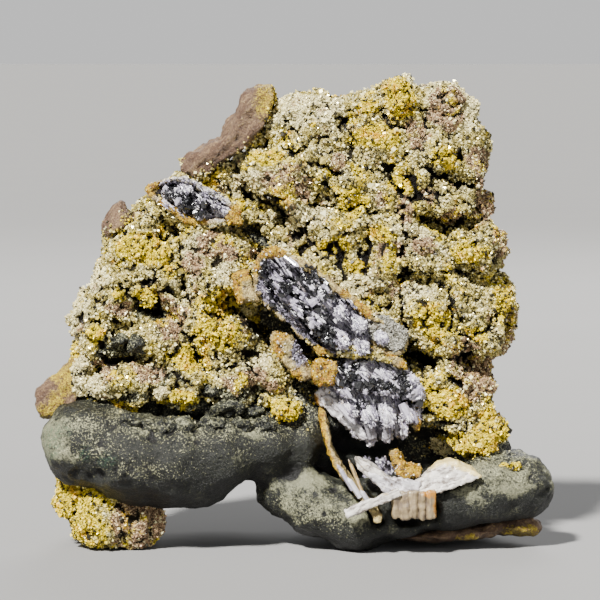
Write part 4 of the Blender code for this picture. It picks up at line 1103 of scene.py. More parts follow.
class SPECIMEN_OT_crust(bpy.types.Operator):
    """Swells the pyrite crust into blocks and knobs, and opens its crevices"""

    bl_idname = "specimen.crust"
    bl_label = "Pyrite crust"

    def execute(self, context):
        mesh = dense_copy("pyrite_crust", sizes().crust_grid / MM, 4)
        smooth = corners_of(mesh)
        crown, cracks = split_blocks(smooth, 9.5, 4.0)
        reach = 2.6 + 2.6 * unit((2.0 - smooth[:, 0]) / 8.0)
        edge = unit(1.4 - away_from("host_rock", smooth) / reach)
        lively = 0.75 + 0.75 * patches(seen(smooth), KNOBBY, 0.8)
        knobbed, facing = swollen(mesh, 3.0, CRUST_KNOBS)
        lift = (crown - 0.8) * 0.6 - cracks * 1.2
        places = smooth + (knobbed - smooth) * lively[:, None] + facing * lift[:, None]
        front = unit(0.3 - facing[:, 1] * 2.0)
        sunk = patches(ragged(places, 2.2, 3.5), DARK_PATCHES, 0.9) * 1.2
        places[:, 1] += (crevices(ragged(places, 1.2), CREVICES)[1] + sunk) * front
        move_corners(mesh, places)
        facing = facing_of(mesh)
        low = unit((46.0 - places[:, 2]) / 5.0) * front
        stony = edge * low * unit(0.75 + wander(places, 2.6, 3, 14.0) * 1.6)
        keep_crust_marks(mesh, places, facing, cracks, stony)
        # Hollows at two sizes: the finish paints them as shade, and fewer grains grow in them.
        broad, fine = (hollowness(mesh, places, facing, *scale) for scale in ((20, 1.3), (5, 0.4)))
        mark(mesh, "hollow", broad * 0.5 + fine * 0.5)
        piece_from(mesh, ["pyrite_crust"], pyrite_finish(colours()), True)
        return {"FINISHED"}


class SPECIMEN_OT_foot(bpy.types.Operator):
    """Swells the ochre foot into knobs"""

    bl_idname = "specimen.foot"
    bl_label = "Pyrite foot"

    def execute(self, context):
        mesh = dense_copy("pyrite_foot", sizes().crust_grid / MM, 4)
        places, facing = swollen(mesh, 11.0, FOOT_KNOBS)
        places -= facing * 0.7
        rock, up = tree_of("host_rock"), Vector((0.0, 0.0, 1.0))
        gaps = np.array([rock.ray_cast(Vector(place), up, 8.0)[3] or -FOOT_SINKS for place in places])
        top = unit(facing[:, 2] * 2.5 - 0.4) * unit(places[:, 2] / 3.0 - 1.0)
        places[:, 2] += settled(mesh, ((gaps + FOOT_SINKS) * top)[:, None], 5)[:, 0]
        places[:, 2] = np.maximum(places[:, 2], 0.0)
        move_corners(mesh, places)
        facing = facing_of(mesh)
        keep_crust_marks(mesh, places, facing)
        across = ragged(places, 1.0)[:, 0]
        mark(mesh, "gold", unit((-39.0 - across) / 6.0))
        mark(mesh, "worn", unit((across + 41.0) / 6.0))
        mark(mesh, "hollow", hollowness(mesh, places, facing, 6, 0.5))
        piece_from(mesh, ["pyrite_foot"], pyrite_finish(colours()), True)
        return {"FINISHED"}


def scattered(mesh, count, weight, rng):
    """Random spots on a mesh, more where weight is high: each spot's three corners and its share of each."""
    mesh.calc_loop_triangles()
    tris = read(mesh.loop_triangles, "vertices", 3, np.int32)
    area = read(mesh.loop_triangles, "area", 1)[:, 0] * weight[tris].mean(axis=1)
    chosen = tris[rng.choice(len(tris), count, p=area / area.sum())]
    return chosen, rng.dirichlet((1.0, 1.0, 1.0), count)


def sown(chosen, share, values):
    """A corner value read at each spot."""
    if values.ndim == 1:
        return (values[chosen] * share).sum(axis=1)
    return (values[chosen] * share[:, :, None]).sum(axis=1)


CUBES = 0.08  # the part of the small crystals that are cubes
OUTSIZE = 0.015  # the part that are nearly twice as big


def coat(growth, mesh, count, weight, names, rng, scale=1.0, rough=0.30):
    """Adds small crystals over a skin, most where weight is high. They keep its marks of those names."""
    places, facing = corners_of(mesh), facing_of(mesh)
    chosen, at = scattered(mesh, count, weight, rng)
    spots, out = sown(chosen, at, places), sown(chosen, at, facing)
    size = sizes().grain / MM * scale * np.exp(np.clip(rng.normal(0.0, rough, count), -0.6, 0.6))
    size *= 1.0 + 0.9 * (rng.uniform(0, 1, count) > 1.0 - OUTSIZE)
    middles = spots + out * (size * rng.uniform(0.05, 0.45, count))[:, None]
    middles[:, 2] = np.maximum(middles[:, 2], size * 0.8)
    stretch = size[:, None] * rng.uniform(0.7, 1.25, (count, 3))
    marks = {name: sown(chosen, at, kept_mark(mesh, name)) for name in names}
    marks["glint"] = rng.uniform(0.0, 1.0, count)
    turns, cubes = tumbled(rng, count), rng.uniform(0, 1, count) < CUBES
    for shape, these in ((cube(), cubes), (double_pyramid(), ~cubes)):
        kept = {name: values[these] for name, values in marks.items()}
        growth.add(shape, middles[these], turns[these], stretch[these], **kept)


def grow_grains(growth, node, count, where, rng):
    """Adds small pyrite crystals over a skin, few in its gaps. where may name the mark that they keep to."""
    mesh = bpy.data.objects[f"{node}_skin"].data
    facing = facing_of(mesh)
    kept = {name: kept_mark(mesh, name) for name in (*CRUST_MARKS, "hollow")}
    weight = np.clip(1.5 - kept["hollow"] * 1.6, 0.04, 1.0)
    for name, thinned in (("pit", 0.92), ("worn", 0.6)):
        weight = weight * (1.0 - thinned * kept[name])
    weight *= (1.0 - 0.7 * kept["stony"]) * np.clip(1.0 - facing[:, 1] * 1.6, 0.07, 1.6)
    weight *= kept_mark(mesh, where) if where else 1.0
    coat(growth, mesh, count, weight, (*CRUST_MARKS, "hollow"), rng)


def kept_mark(mesh, name):
    """What mark() kept, or 0 all over where it kept nothing of that name."""
    if name not in mesh.attributes:
        return np.zeros(len(mesh.vertices))
    return read(mesh.attributes[name].data, "value", 1)[:, 0]


class SPECIMEN_OT_grains(bpy.types.Operator):
    """Grows small pyrite crystals over the crust and the foot, and onto the rock and rinds beside them"""

    bl_idname = "specimen.grains"
    bl_label = "Pyrite grains"

    def execute(self, context):
        finish, full = grain_finish(colours()), sizes().grains
        spreads = {
            "crust_grains_1": [("pyrite_crust", full, None)],
            "crust_grains_2": [("pyrite_crust", full, None)],
            "crust_grains_3": [
                ("pyrite_crust", full // 5, None),
                ("vein_shell", 2000, "crust"),
                ("pocket_shell", 900, "crust"),
            ],
            "foot_grains": [("pyrite_foot", full // 7, None)],
            "rock_grains": [
                ("host_rock", full // 12, "crusted"),
                ("host_rock", full // 17, "fringe"),
                ("left_rind", 700, "crusted"),
                ("top_rind", 500, "crusted"),
                ("shoulder_lumps", 300, "crusted"),
            ],
            "clump_grains": [("crust_clumps", full // 5, None)],
        }
        for index, (name, hosts) in enumerate(spreads.items()):
            rng, growth = np.random.default_rng(sizes().seed + index), Growth()
            for node, count, where in hosts:
                grow_grains(growth, node, count, where, rng)
            nodes = [node for node, _, _ in hosts if node in frame["nodes"]] or ["pyrite_crust"]
            piece_from(growth.mesh(name), nodes, finish, False)
        return {"FINISHED"}


# Patches of gold on the brown rinds
RIND_GOLD = [
    (-5.2, 99.4, 2.6, 4.2), (-48.8, 42.0, 1.6, 5.0), (-49.6, 36.6, 1.8, 2.6), (-52.2, 32.6, 2.0, 2.6),
    (-54.6, 29.4, 1.8, 2.2), (-51.0, 38.6, 2.4, 1.4), (50.0, 4.0, 3.4, 1.4), (38.0, 2.6, 2.0, 0.8),
    (-37.5, 68.5, 3.0, 1.6),
]


def drawn_back(places, index):
    """The places of a rind warped and drawn together towards its back."""
    depth = (places[:, 1] - places[:, 1].min()) / np.ptp(places[:, 1])
    warp = pushes(places, 8.0, 2, [40.0 + 9 * k + index for k in range(3)]) * (0.6 + 3.4 * depth)[:, None]
    return places + (warp + (places.mean(axis=0) - places) * (depth**2 * 0.16)[:, None])


class SPECIMEN_OT_rinds(bpy.types.Operator):
    """Dresses the brown rinds, the shoulder's lumps and the flakes under the right lobe"""

    bl_idname = "specimen.rinds"
    bl_label = "Brown rinds"

    def execute(self, context):
        finish = brown_finish(colours())
        for index, node in enumerate(("top_rind", "left_rind", "shoulder_lumps", "base_flakes")):
            mesh = dense_copy(node, sizes().fine_grid / MM * 1.3, 5)
            places, facing = corners_of(mesh), facing_of(mesh)
            if node != "base_flakes":
                places = drawn_back(places, index)
            along = np.outer(places @ np.array(LAYERED), LAYERED)
            layers = wander(places - along * 0.75, 2.4, 3, 4.0 * index)
            move_corners(mesh, places + facing * (layers * 0.5)[:, None])
            places, facing = roughened(mesh, [(5.0, 0.5), (1.6, 0.25), (0.8, 0.08)], 4.0 * index)
            places[:, 2] = np.maximum(places[:, 2], 0.0)
            move_corners(mesh, places)
            keep_shade(mesh, places, facing, 6, 0.4)
            mark(mesh, "gold", patches(ragged(places, 1.2, 1.8), RIND_GOLD, 1.2))
            near = unit(1.3 - away_from("pyrite_crust", places) / 2.6)
            scattered_about = unit(0.7 + wander(places, 2.4, 3, 5.0) * 1.5)
            mark(mesh, "crusted", near * scattered_about * frontness(facing))
            piece_from(mesh, [node], finish, True)
        return {"FINISHED"}


# Each wall's patches of iron stain, and how stained it is all over
WALL_STAINS = {
    "vein_flap": ([(-12.8, 57.5, 1.4, 3.4), (-11.0, 60.6, 3.6, 1.2), (-12.5, 55.0, 1.6, 1.2)], 0.10),
    "side_shell": ([(-3.6, 44.0, 1.3, 3.6), (0.4, 38.5, 1.6, 1.6), (-2.6, 47.5, 1.6, 1.2)], 0.0),
    "ochre_block": ([(5.6, 38.6, 2.8, 3.8)], 0.55),
    "orange_wall": ([(25.4, 18.6, 4.0, 4.0)], 0.3),
    "fluted_block": ([(30.8, 11.0, 0.7, 3.4), (29.5, 13.4, 2.0, 0.8)], 0.0),
}
# The thin wall's middle line, and the patch inside the side shell where crystal shows
WALL_EDGE = [
    (4.6, 31.4), (5.9, 27.0), (7.0, 23.2), (8.8, 19.2), (11.4, 15.6), (14.6, 12.2), (17.0, 9.0),
    (18.4, 6.0),
]
SIDE_SHELL_INSIDE = [(1.4, 43.6, 2.2, 3.4)]


def left_of(path, shown):
    """Which places on the front lie to the left of a path, by how much."""
    line = np.array(path)[::-1]
    return np.interp(shown[:, 1], line[:, 1], line[:, 0]) - shown[:, 0]


# Clumps on the crust or lapping onto the rock and the rinds: a patch, how thick, and its mark
CLUMPS = [
    (-37.3, 32.3, 3.4, 2.8, 1.8, "gold"), (-42.0, 36.1, 2.6, 2.6, 1.8, "pale"),
    (-46.4, 38.6, 2.0, 4.4, 2.2, "pale"), (-45.6, 33.6, 2.4, 2.2, 2.6, "stony"),
    (-1.9, 31.2, 3.0, 2.4, 1.6, "gold"), (-24.0, 34.0, 2.6, 1.2, 1.2, "gold"),
    (-5.6, 33.4, 2.4, 1.4, 1.2, ""), (-28.6, 35.0, 2.0, 1.2, 1.0, "pale"),
    (-43.3, 48.0, 1.8, 1.5, 1.2, "gold"), (-31.9, 55.4, 2.2, 2.2, 1.2, "gold"),
    (-34.5, 66.4, 3.4, 2.4, 1.2, "gold"), (-29.8, 65.2, 2.6, 2.6, 1.2, "gold"),
    (33.7, 31.9, 4.2, 2.8, 1.8, "gold"), (44.5, 26.4, 2.4, 2.8, 2.4, "gold"),
    (40.3, 23.4, 4.2, 2.2, 2.0, "gold"), (33.3, 22.6, 2.8, 2.0, 1.8, "pale"),
    (42.5, 35.9, 1.6, 2.4, 2.2, "worn"), (46.2, 67.5, 1.3, 3.0, 1.6, "worn"),
    (42.5, 76.3, 1.8, 2.6, 1.8, "worn"), (47.3, 50.5, 1.8, 3.4, 2.0, "worn"),
    (41.6, 40.0, 2.4, 3.6, 2.0, "worn"), (23.4, 99.7, 2.8, 3.8, 1.0, "gold"),
    (15.9, 97.0, 2.2, 1.4, 0.8, "gold"), (33.7, 98.6, 3.8, 2.8, 0.9, "worn"),
    (38.6, 96.4, 2.0, 3.0, 1.2, "pale"), (-2.6, 79.6, 2.8, 2.4, 0.9, "worn"),
    (9.8, 85.2, 1.8, 1.6, 0.8, "worn"), (46.4, 18.8, 2.8, 0.9, 0.5, "gold"),
    (-17.5, 83.4, 1.3, 1.7, 1.0, "gold"), (-18.6, 79.4, 1.5, 1.2, 1.2, "gold"),
    (28.6, 66.8, 2.4, 2.0, 1.0, "worn"),
]


# Lumps of the rock that show among the pyrite: a patch and how thick
BOULDERS = [
    (-32.0, 30.6, 3.4, 2.8, 2.0), (-26.4, 31.2, 2.8, 2.2, 2.0), (-20.6, 31.6, 3.4, 2.4, 2.2),
    (-14.6, 31.4, 3.4, 2.2, 2.2), (-9.4, 30.4, 2.6, 2.0, 2.0), (-33.6, 45.1, 2.2, 1.9, 1.8),
    (-38.4, 46.2, 2.2, 1.3, 1.6), (-17.4, 35.4, 2.0, 1.4, 1.4), (-29.0, 27.8, 3.0, 1.6, 1.4),
    (-23.4, 27.6, 2.6, 1.8, 1.5), (-17.6, 28.2, 3.0, 1.6, 1.4), (-11.6, 27.4, 2.4, 1.6, 1.3),
    (-35.4, 28.6, 2.4, 1.4, 1.2), (-6.0, 27.6, 2.4, 1.8, 1.3),
]


def lumps(name, table, tree):
    """Rounded lumps half sunk in what is behind them, as one mesh, and how many corners each has."""
    solid = bmesh.new()
    for across, up, wide, tall, thick in table:
        place = struck(tree, [(across, up)])[0][0]
        place = place or tree.find_nearest(Vector((across, -6.0, up)))[0]
        at = Matrix.Translation(place * MM) @ Matrix.Diagonal((wide * MM, thick * MM, tall * MM, 1.0))
        bmesh.ops.create_icosphere(solid, subdivisions=4, radius=1.0, matrix=at)
    mesh = bpy.data.meshes.new(name)
    solid.to_mesh(mesh)
    solid.free()
    return mesh, len(mesh.vertices) // len(table)


class SPECIMEN_OT_clumps(bpy.types.Operator):
    """Sets clumps of pyrite on the crust and over its edges, with boulders of the rock"""

    bl_idname = "specimen.clumps"
    bl_label = "Clumps and boulders"

    def execute(self, context):
        tree = tree_of("pyrite_crust", "host_rock", "left_rind")
        mesh, each = lumps("crust_clumps_skin", [row[:5] for row in CLUMPS], tree)
        places, facing = swollen(mesh, 17.0, [(2.8, 1.1), (1.4, 0.6)])
        move_corners(mesh, places)
        for name in CRUST_MARKS:
            mark(mesh, name, np.repeat([1.0 if row[5] == name else 0.0 for row in CLUMPS], each))
        mark(mesh, "hollow", hollowness(mesh, places, facing, 5, 0.4))
        piece_from(mesh, ["pyrite_crust"], pyrite_finish(colours()), True)
        mesh, each = lumps("rock_boulders", BOULDERS, tree)
        places, facing = roughened(mesh, [(3.0, 1.3), (1.4, 0.6), (0.7, 0.25)], 12.0)
        keep_shade(mesh, places, facing, 5, 0.4)
        # Sage on what faces up, as sage dust and as painted top light.
        mark(mesh, "sage", unit(facing[:, 2]) * 0.8)
        mark(mesh, "flecked", np.full(len(places), 0.8))
        piece_from(mesh, ["host_rock"], mudstone_finish(colours()), True)
        return {"FINISHED"}


def flute(mesh):
    """Cuts upright flutes and fine cross lines into the block's front, and lifts it to the wing."""
    places, facing = corners_of(mesh), facing_of(mesh)
    flutes = np.abs(np.sin((places[:, 0] - 21.6) * math.pi / 1.5)) ** 0.7 * 0.42
    lines = np.sin(places[:, 2] * math.tau / 0.7) * 0.05
    move_corners(mesh, places + facing * ((flutes + lines - 0.2) * frontness(facing))[:, None])
    places, facing = roughened(mesh, [(2.4, 0.35), (0.8, 0.12)], 2.0)
    places += (-0.6, 0.0, 2.3)
    move_corners(mesh, places)
    return places, facing


def bend_wall(mesh):
    """Draws the thin wall towards its middle line, and lifts its foot."""
    places = corners_of(mesh)
    places[:, 0] += left_of(WALL_EDGE, seen(places)) * 0.35
    places[:, 2] += unit((12.0 - places[:, 2]) / 6.0) * 1.6
    move_corners(mesh, places)
    return roughened(mesh, [(3.0, 0.5), (1.2, 0.2), (0.5, 0.1)], 9.0)


def wall_stain(node, shown):
    """How stained each place on a wall is. The thin wall is stained left of its middle line and high up."""
    if node != "thin_wall":
        stains, all_over = WALL_STAINS[node]
        return patches(shown, stains, 0.9) + all_over
    stain = unit(0.55 + left_of(WALL_EDGE, shown) + (shown[:, 1] - 19.0) / 6.0)
    return stain * unit((shown[:, 1] - 10.5) / 3.0)


class SPECIMEN_OT_walls(bpy.types.Operator):
    """Dresses the cream and orange walls below the vein, and its flap"""

    bl_idname = "specimen.walls"
    bl_label = "Stained walls"

    def execute(self, context):
        stained, upright = stained_finish(colours()), (0.0, 0.0, 1.0)
        satin = blade_finish(colours(), upright, "fluted_cream", (0.30, 0.225, 0.12), (0.14, 0.09, 0.046))
        for index, node in enumerate((*WALL_STAINS, "thin_wall")):
            mesh, is_fluted = dense_copy(node, sizes().fine_grid / MM, 1), node == "fluted_block"
            if is_fluted:
                places, facing = flute(mesh)
            elif node == "thin_wall":
                places, facing = bend_wall(mesh)
            else:
                places, facing = roughened(mesh, [(2.6, 0.6), (1.2, 0.4), (0.6, 0.15)], 2.0 * index)
            shown = ragged(places, 0.5, 1.0)
            mark(mesh, "rust" if is_fluted else "stain", wall_stain(node, shown))
            if node == "side_shell":
                mark(mesh, "inner", patches(shown, SIDE_SHELL_INSIDE) * 0.8)
            keep_shade(mesh, places, facing, 6, 0.35)
            piece_from(mesh, [node], satin if is_fluted else stained, True)
        return {"FINISHED"}


# Each rind's crest, stains, and the line down the middle of what it holds
SHELLS = {
    "vein_shell": (VEIN_CREST, VEIN_STAIN, [(-5.0, 60.0), (4.0, 53.5), (12.0, 49.0), (20.0, 46.5)]),
    "pocket_shell": (POCKET_CREST, POCKET_STAIN, [(-28.5, 79.0), (-22.5, 76.5), (-16.0, 75.0)]),
}


class SPECIMEN_OT_shells(bpy.types.Operator):
    """Dresses the rinds round the vein and the pocket, each with a thin crest that pyrite laps against"""

    bl_idname = "specimen.shells"
    bl_label = "Vein and pocket rinds"

    def execute(self, context):
        finish = stained_finish(colours())
        for index, (node, (crest, stains, core)) in enumerate(SHELLS.items()):
            mesh = dense_copy(node, sizes().fine_grid / MM * 1.1, 3)
            places, facing = roughened(mesh, [(3.0, 0.4), (1.2, 0.3)], 3.0 * index)
            shown, front = ragged(places, 0.5, 1.4), frontness(facing)
            to_crest = np.min([distance_to(path, shown) / wide for wide, path in crest], axis=0)
            crested = unit(1.6 - to_crest)
            whole = [corner for _, path in crest for corner in path]
            inside = distance_to(core, shown) < distance_to(core, nearest_on(whole, shown)[0])
            away = unit((to_crest - 1.1) * 1.4)
            stain = patches(shown, stains)
            outer, inner = away * ~inside * (1.0 - stain), away * inside * (1.0 - stain)
            places = places + facing * ((crested * 0.5 - outer * 0.6 - inner * 0.4) * front)[:, None]
            move_corners(mesh, places)
            keep_crust_marks(mesh, places, facing)
            mark(mesh, "stain", stain + unit(1.0 - front) * 0.4)
            mark(mesh, "crust", outer * front + (1.0 - front) * ~inside * 0.8)
            if node == "pocket_shell":
                mark(mesh, "bleached", crested * front * (1.0 - stain))
            mark(mesh, "inner", inner)
            keep_shade(mesh, places, facing, 6, 0.5)
            piece_from(mesh, [node], finish, True)
        return {"FINISHED"}


# Plates and lumps on the rinds, the crystals and the wing: what carries each, its outline of places, how far
# it stands out, and its patches of iron stain
PLATES = {
    "vein_plate": (
        "vein_shell",
        [(16.6, 49.6), (18.2, 51.8), (21.4, 50.8), (24.6, 48.6), (25.2, 46.9), (23.9, 44.8), (22.2, 43.4),
         (19.6, 45.2), (16.8, 46.6)],
        0.7,
        [(25.0, 46.6, 0.7, 2.2), (16.8, 49.0, 1.4, 2.4)],
    ),
    "vein_lip": (
        "vein_shell",
        [(16.4, 46.8), (19.4, 45.3), (22.1, 43.2), (24.2, 41.6), (24.8, 40.0), (22.8, 40.2), (20.4, 41.6),
         (17.8, 43.4), (15.8, 45.4)],
        1.0,
        [(24.2, 41.0, 1.6, 1.0), (21.4, 43.2, 2.0, 0.5)],
    ),
    "wall_ear": (
        "lower_crystals",
        [(4.6, 34.4), (5.8, 35.8), (7.6, 36.0), (9.2, 34.8), (9.6, 32.6), (8.2, 31.4), (6.2, 31.6),
         (4.8, 32.4)],
        0.8,
        [(4.7, 32.8, 0.9, 1.6)],
    ),
    "lower_ridge": (
        "lower_crystals",
        [(5.8, 33.4), (7.4, 34.4), (9.6, 33.0), (12.2, 30.4), (14.6, 27.6), (16.2, 24.8), (15.0, 24.2),
         (12.4, 26.4), (9.2, 29.2), (6.6, 31.4)],
        1.0,
        [],
    ),
    "amber_tip": (
        "lower_crystals",
        [(26.0, 30.2), (27.4, 29.8), (27.9, 28.0), (27.3, 26.4), (26.2, 27.4)],
        0.7,
        [(27.4, 28.0, 0.8, 2.4)],
    ),
    "wing_knot": (
        "wing_blade",
        [(15.8, 17.8), (18.9, 17.2), (21.6, 16.4), (23.2, 16.6), (24.9, 15.9), (27.0, 16.0), (27.6, 14.8),
         (26.3, 13.6), (22.9, 13.0), (20.2, 12.9), (18.9, 14.1), (17.2, 15.8)],
        0.6,
        [],
    ),
    "pocket_bulge": (
        "pocket_shell",
        [(-18.6, 74.6), (-17.6, 75.8), (-15.8, 76.0), (-14.4, 74.8), (-14.0, 72.8), (-15.4, 70.9),
         (-17.2, 71.2), (-18.4, 72.6)],
        1.2,
        [(-16.4, 71.0, 2.6, 0.9)],
    ),
    "pocket_tongue": (
        "pocket_shell",
        [(-14.6, 74.6), (-13.2, 74.6), (-11.6, 72.9), (-11.2, 71.4), (-12.8, 71.3), (-14.8, 71.9)],
        0.9,
        [(-12.8, 72.8, 2.4, 2.4)],
    ),
}
GREY_PLATES = ("vein_plate",)  # grey-green all over
SATIN_PLATES = ("wing_knot", "lower_ridge", "wall_ear")  # white, as the blades are
PLATE_DEPTH = 2.4  # how far each runs into what carries it


def laid_plate(name, outline, tree, out):
    """A plate on the front of a surface that it sinks into, from its outline and how far it stands out."""
    outline = np.array(outline)
    found = np.array([place for place, _ in struck(tree, outline) if place is not None])
    found = found[np.abs(found[:, 1] - np.median(found[:, 1])) < 3.0]
    level = np.median(found[:, 1])
    lean = np.polyfit(found[:, 0], found[:, 1] - level, 1)[0] if np.ptp(found[:, 0]) > 2.0 else 0.0
    y = level + lean * (outline[:, 0] - found[:, 0].mean())
    z = (outline[:, 1] - (y - VIEW_PLANE_Y) * math.sin(VIEW_TILT)) / math.cos(VIEW_TILT)
    flat, sight = np.stack([outline[:, 0], y, z], axis=1), np.array(sight_line())
    solid = bmesh.new()
    depths = (-out, PLATE_DEPTH)
    front, back = ([solid.verts.new((place + sight * depth) * MM) for place in flat] for depth in depths)
    solid.faces.new(front)
    solid.faces.new(back[::-1])
    for i in range(len(flat)):
        solid.faces.new((front[i - 1], front[i], back[i], back[i - 1]))
    bmesh.ops.recalc_face_normals(solid, faces=solid.faces)
    data = bpy.data.meshes.new("flat")
    solid.to_mesh(data)
    solid.free()
    return dense(data, name, sizes().fine_grid / MM * 0.8, 2)


class SPECIMEN_OT_plates(bpy.types.Operator):
    """Lays the plate, the lip and the lumps on the rinds of the vein and of the pocket"""

    bl_idname = "specimen.plates"
    bl_label = "Plates and lumps"

    def execute(self, context):
        stained = stained_finish(colours())
        for index, (name, (carrier, outline, out, stains)) in enumerate(PLATES.items()):
            mesh = laid_plate(name, outline, tree_of(carrier), out)
            places, facing = roughened(mesh, [(2.4, 0.45), (1.0, 0.3), (0.5, 0.12)], 5.0 * index)
            stain = patches(ragged(places, 0.4, 1.0), stains, 0.9)
            finish = stained
            mark(mesh, "stain", stain)
            keep_shade(mesh, places, facing, 6, 0.35)
            if name in GREY_PLATES:
                mark(mesh, "plate", np.ones(len(places)))
            if name in SATIN_PLATES:
                mark(mesh, "rust", stain)
                pale, deep = (0.80, 0.77, 0.78), (0.40, 0.37, 0.43)
                finish = blade_finish(colours(), (0.8, 0.0, -0.5), f"{name}_white", pale, deep)
            piece_from(mesh, [carrier], finish, True)
        return {"FINISHED"}


# How many crumbs each rind has, and the marks that they take from it
CRUMBS = {
    "vein_shell_skin": 1300, "pocket_shell_skin": 600, "vein_flap_skin": 120, "side_shell_skin": 500,
    "ochre_block_skin": 450, "orange_wall_skin": 300, "vein_plate": 320, "vein_lip": 80, "wall_ear": 40,
    "pocket_tongue": 60,
}
CRUMB_MARKS = ("stain", "inner", "plate", "hollow", "bleached")


class SPECIMEN_OT_crumbs(bpy.types.Operator):
    """Grows crumbs over the rinds, the walls and the plates on them"""

    bl_idname = "specimen.crumbs"
    bl_label = "Rind crumbs"

    def execute(self, context):
        rng, growth = np.random.default_rng(sizes().seed + 30), Growth()
        for name, count in CRUMBS.items():
            mesh = bpy.data.objects[name].data
            weight = np.clip(1.0 - kept_mark(mesh, "crust"), 0.02, 1.0)
            weight *= np.clip(0.9 - facing_of(mesh)[:, 1], 0.1, 1.5)
            weight *= 0.25 + kept_mark(mesh, "stain") + kept_mark(mesh, "inner") + kept_mark(mesh, "plate")
            coat(growth, mesh, count, weight, CRUMB_MARKS, rng, 0.65)
        nodes = [name.removesuffix("_skin") for name in CRUMBS if name.endswith("_skin")]
        piece_from(growth.mesh("rind_crumbs"), nodes, crumb_finish(colours()), False)
        return {"FINISHED"}


# The wing's upper edge, which is stained, and the way that each blade's ridges run
WING_EDGE = [(24.5, 17.2), (28.9, 19.1), (33.7, 20.2), (37.7, 18.9), (40.5, 16.9)]
BLADE_LEANS = {
    "stem_blade": (0.75, 0.0, -0.65),
    "cross_blade": (0.95, 0.0, 0.42),
    "wing_blade": (0.97, 0.1, 0.25),
}


class SPECIMEN_OT_blades(bpy.types.Operator):
    """Dresses the three white blades"""

    bl_idname = "specimen.blades"
    bl_label = "White blades"

    def execute(self, context):
        for index, (node, lean) in enumerate(BLADE_LEANS.items()):
            mesh = dense_copy(node, sizes().fine_grid / MM * 0.8, 1)
            places, facing = roughened(mesh, [(2.6, 0.4), (1.0, 0.22)], 3.0 * index)
            mark(mesh, "hollow", hollowness(mesh, places, facing, 6, 0.3))
            edge = unit(1.3 - distance_to(WING_EDGE, ragged(places, 0.5, 1.0)))
            mark(mesh, "stain", unit(wander(places, 3.0, 2, 1.0 + index) + 0.1) * 0.6 + edge)
            finish = blade_finish(colours(), lean, f"{node}_white", (0.78, 0.73, 0.65), (0.30, 0.265, 0.26))
            piece_from(mesh, [node], finish, True)
        return {"FINISHED"}


def sight_line():
    """Which way the front is looked along."""
    return Vector((0.0, math.cos(VIEW_TILT), -math.sin(VIEW_TILT)))


def struck(tree, shown):
    """Where a line of sight from the front first meets a surface, and which way that faces."""
    hits = []
    for across, up in shown:
        start = Vector((across, VIEW_PLANE_Y, up / math.cos(VIEW_TILT))) - sight_line() * 80.0
        hits.append(tree.ray_cast(start, sight_line())[:2])
    return hits


def tree_of(*nodes):
    """A tree of the dressed surfaces of some nodes."""
    corners, faces = [], []
    for node in nodes:
        mesh = bpy.data.objects[f"{node}_skin"].data
        faces += [[index + len(corners) for index in face.vertices] for face in mesh.polygons]
        corners += [vert.co / MM for vert in mesh.vertices]
    return BVHTree.FromPolygons(corners, faces)


def dress_bed(node, black, seed, lean):
    """Dresses a crystal node as sugary ground."""
    mesh = dense_copy(node, sizes().fine_grid / MM * 1.1, 1)
    places, facing = swollen(mesh, seed, [(2.0, 0.2), (0.9, 0.3)])
    move_corners(mesh, places)
    facing = facing_of(mesh)
    mark(mesh, "black", patches(ragged(places, 0.6, 1.0), black, 0.8))
    mark(mesh, "hollow", hollowness(mesh, places, facing, 8, 0.6))
    mark(mesh, "stain", unit(wander(places, 2.6, 2, seed) * 1.2 - 0.35))
    piece_from(mesh, [node], bed_finish(colours(), lean), True)


class SPECIMEN_OT_beds(bpy.types.Operator):
    """Dresses the sugary ground of the vein, the lower mass, the pocket and the cave"""

    bl_idname = "specimen.beds"
    bl_label = "Crystal beds"

    def execute(self, context):
        for index, (node, _, beds, _, ground, _) in enumerate(CRYSTAL_GROUPS):
            dress_bed(node, ground, 5.0 + index, beds[0][1])
        return {"FINISHED"}


def spots_in(oval, count, rng):
    """Random places in an oval, (across, up)."""
    across, up, half_width, half_height = oval
    reach, turn = np.sqrt(rng.uniform(0, 1, count)), rng.uniform(0, math.tau, count)
    level, rise = half_width * reach * np.cos(turn), half_height * reach * np.sin(turn)
    return np.stack([across + level, up + rise], axis=1)


def add_lath(growth, place, direction, spin, shape, **marks):
    """One column that leans out of a place, half sunk. shape is its two radii and its length."""
    direction = np.array(direction) / np.linalg.norm(direction)
    foot = np.array(place) - direction * shape[2] * 0.5
    marks = {name: np.array([value]) for name, value in marks.items()}
    turns = aimed(direction[None], np.array([spin]))
    growth.add(hexagonal_column(), foot[None], turns, np.array([shape]), **marks)


def smoke(node, up):
    """How smoky a lath is: only the lower mass's tips are."""
    return float(unit((30.5 - up) / 4.0)) if node == "lower_crystals" else 0.0


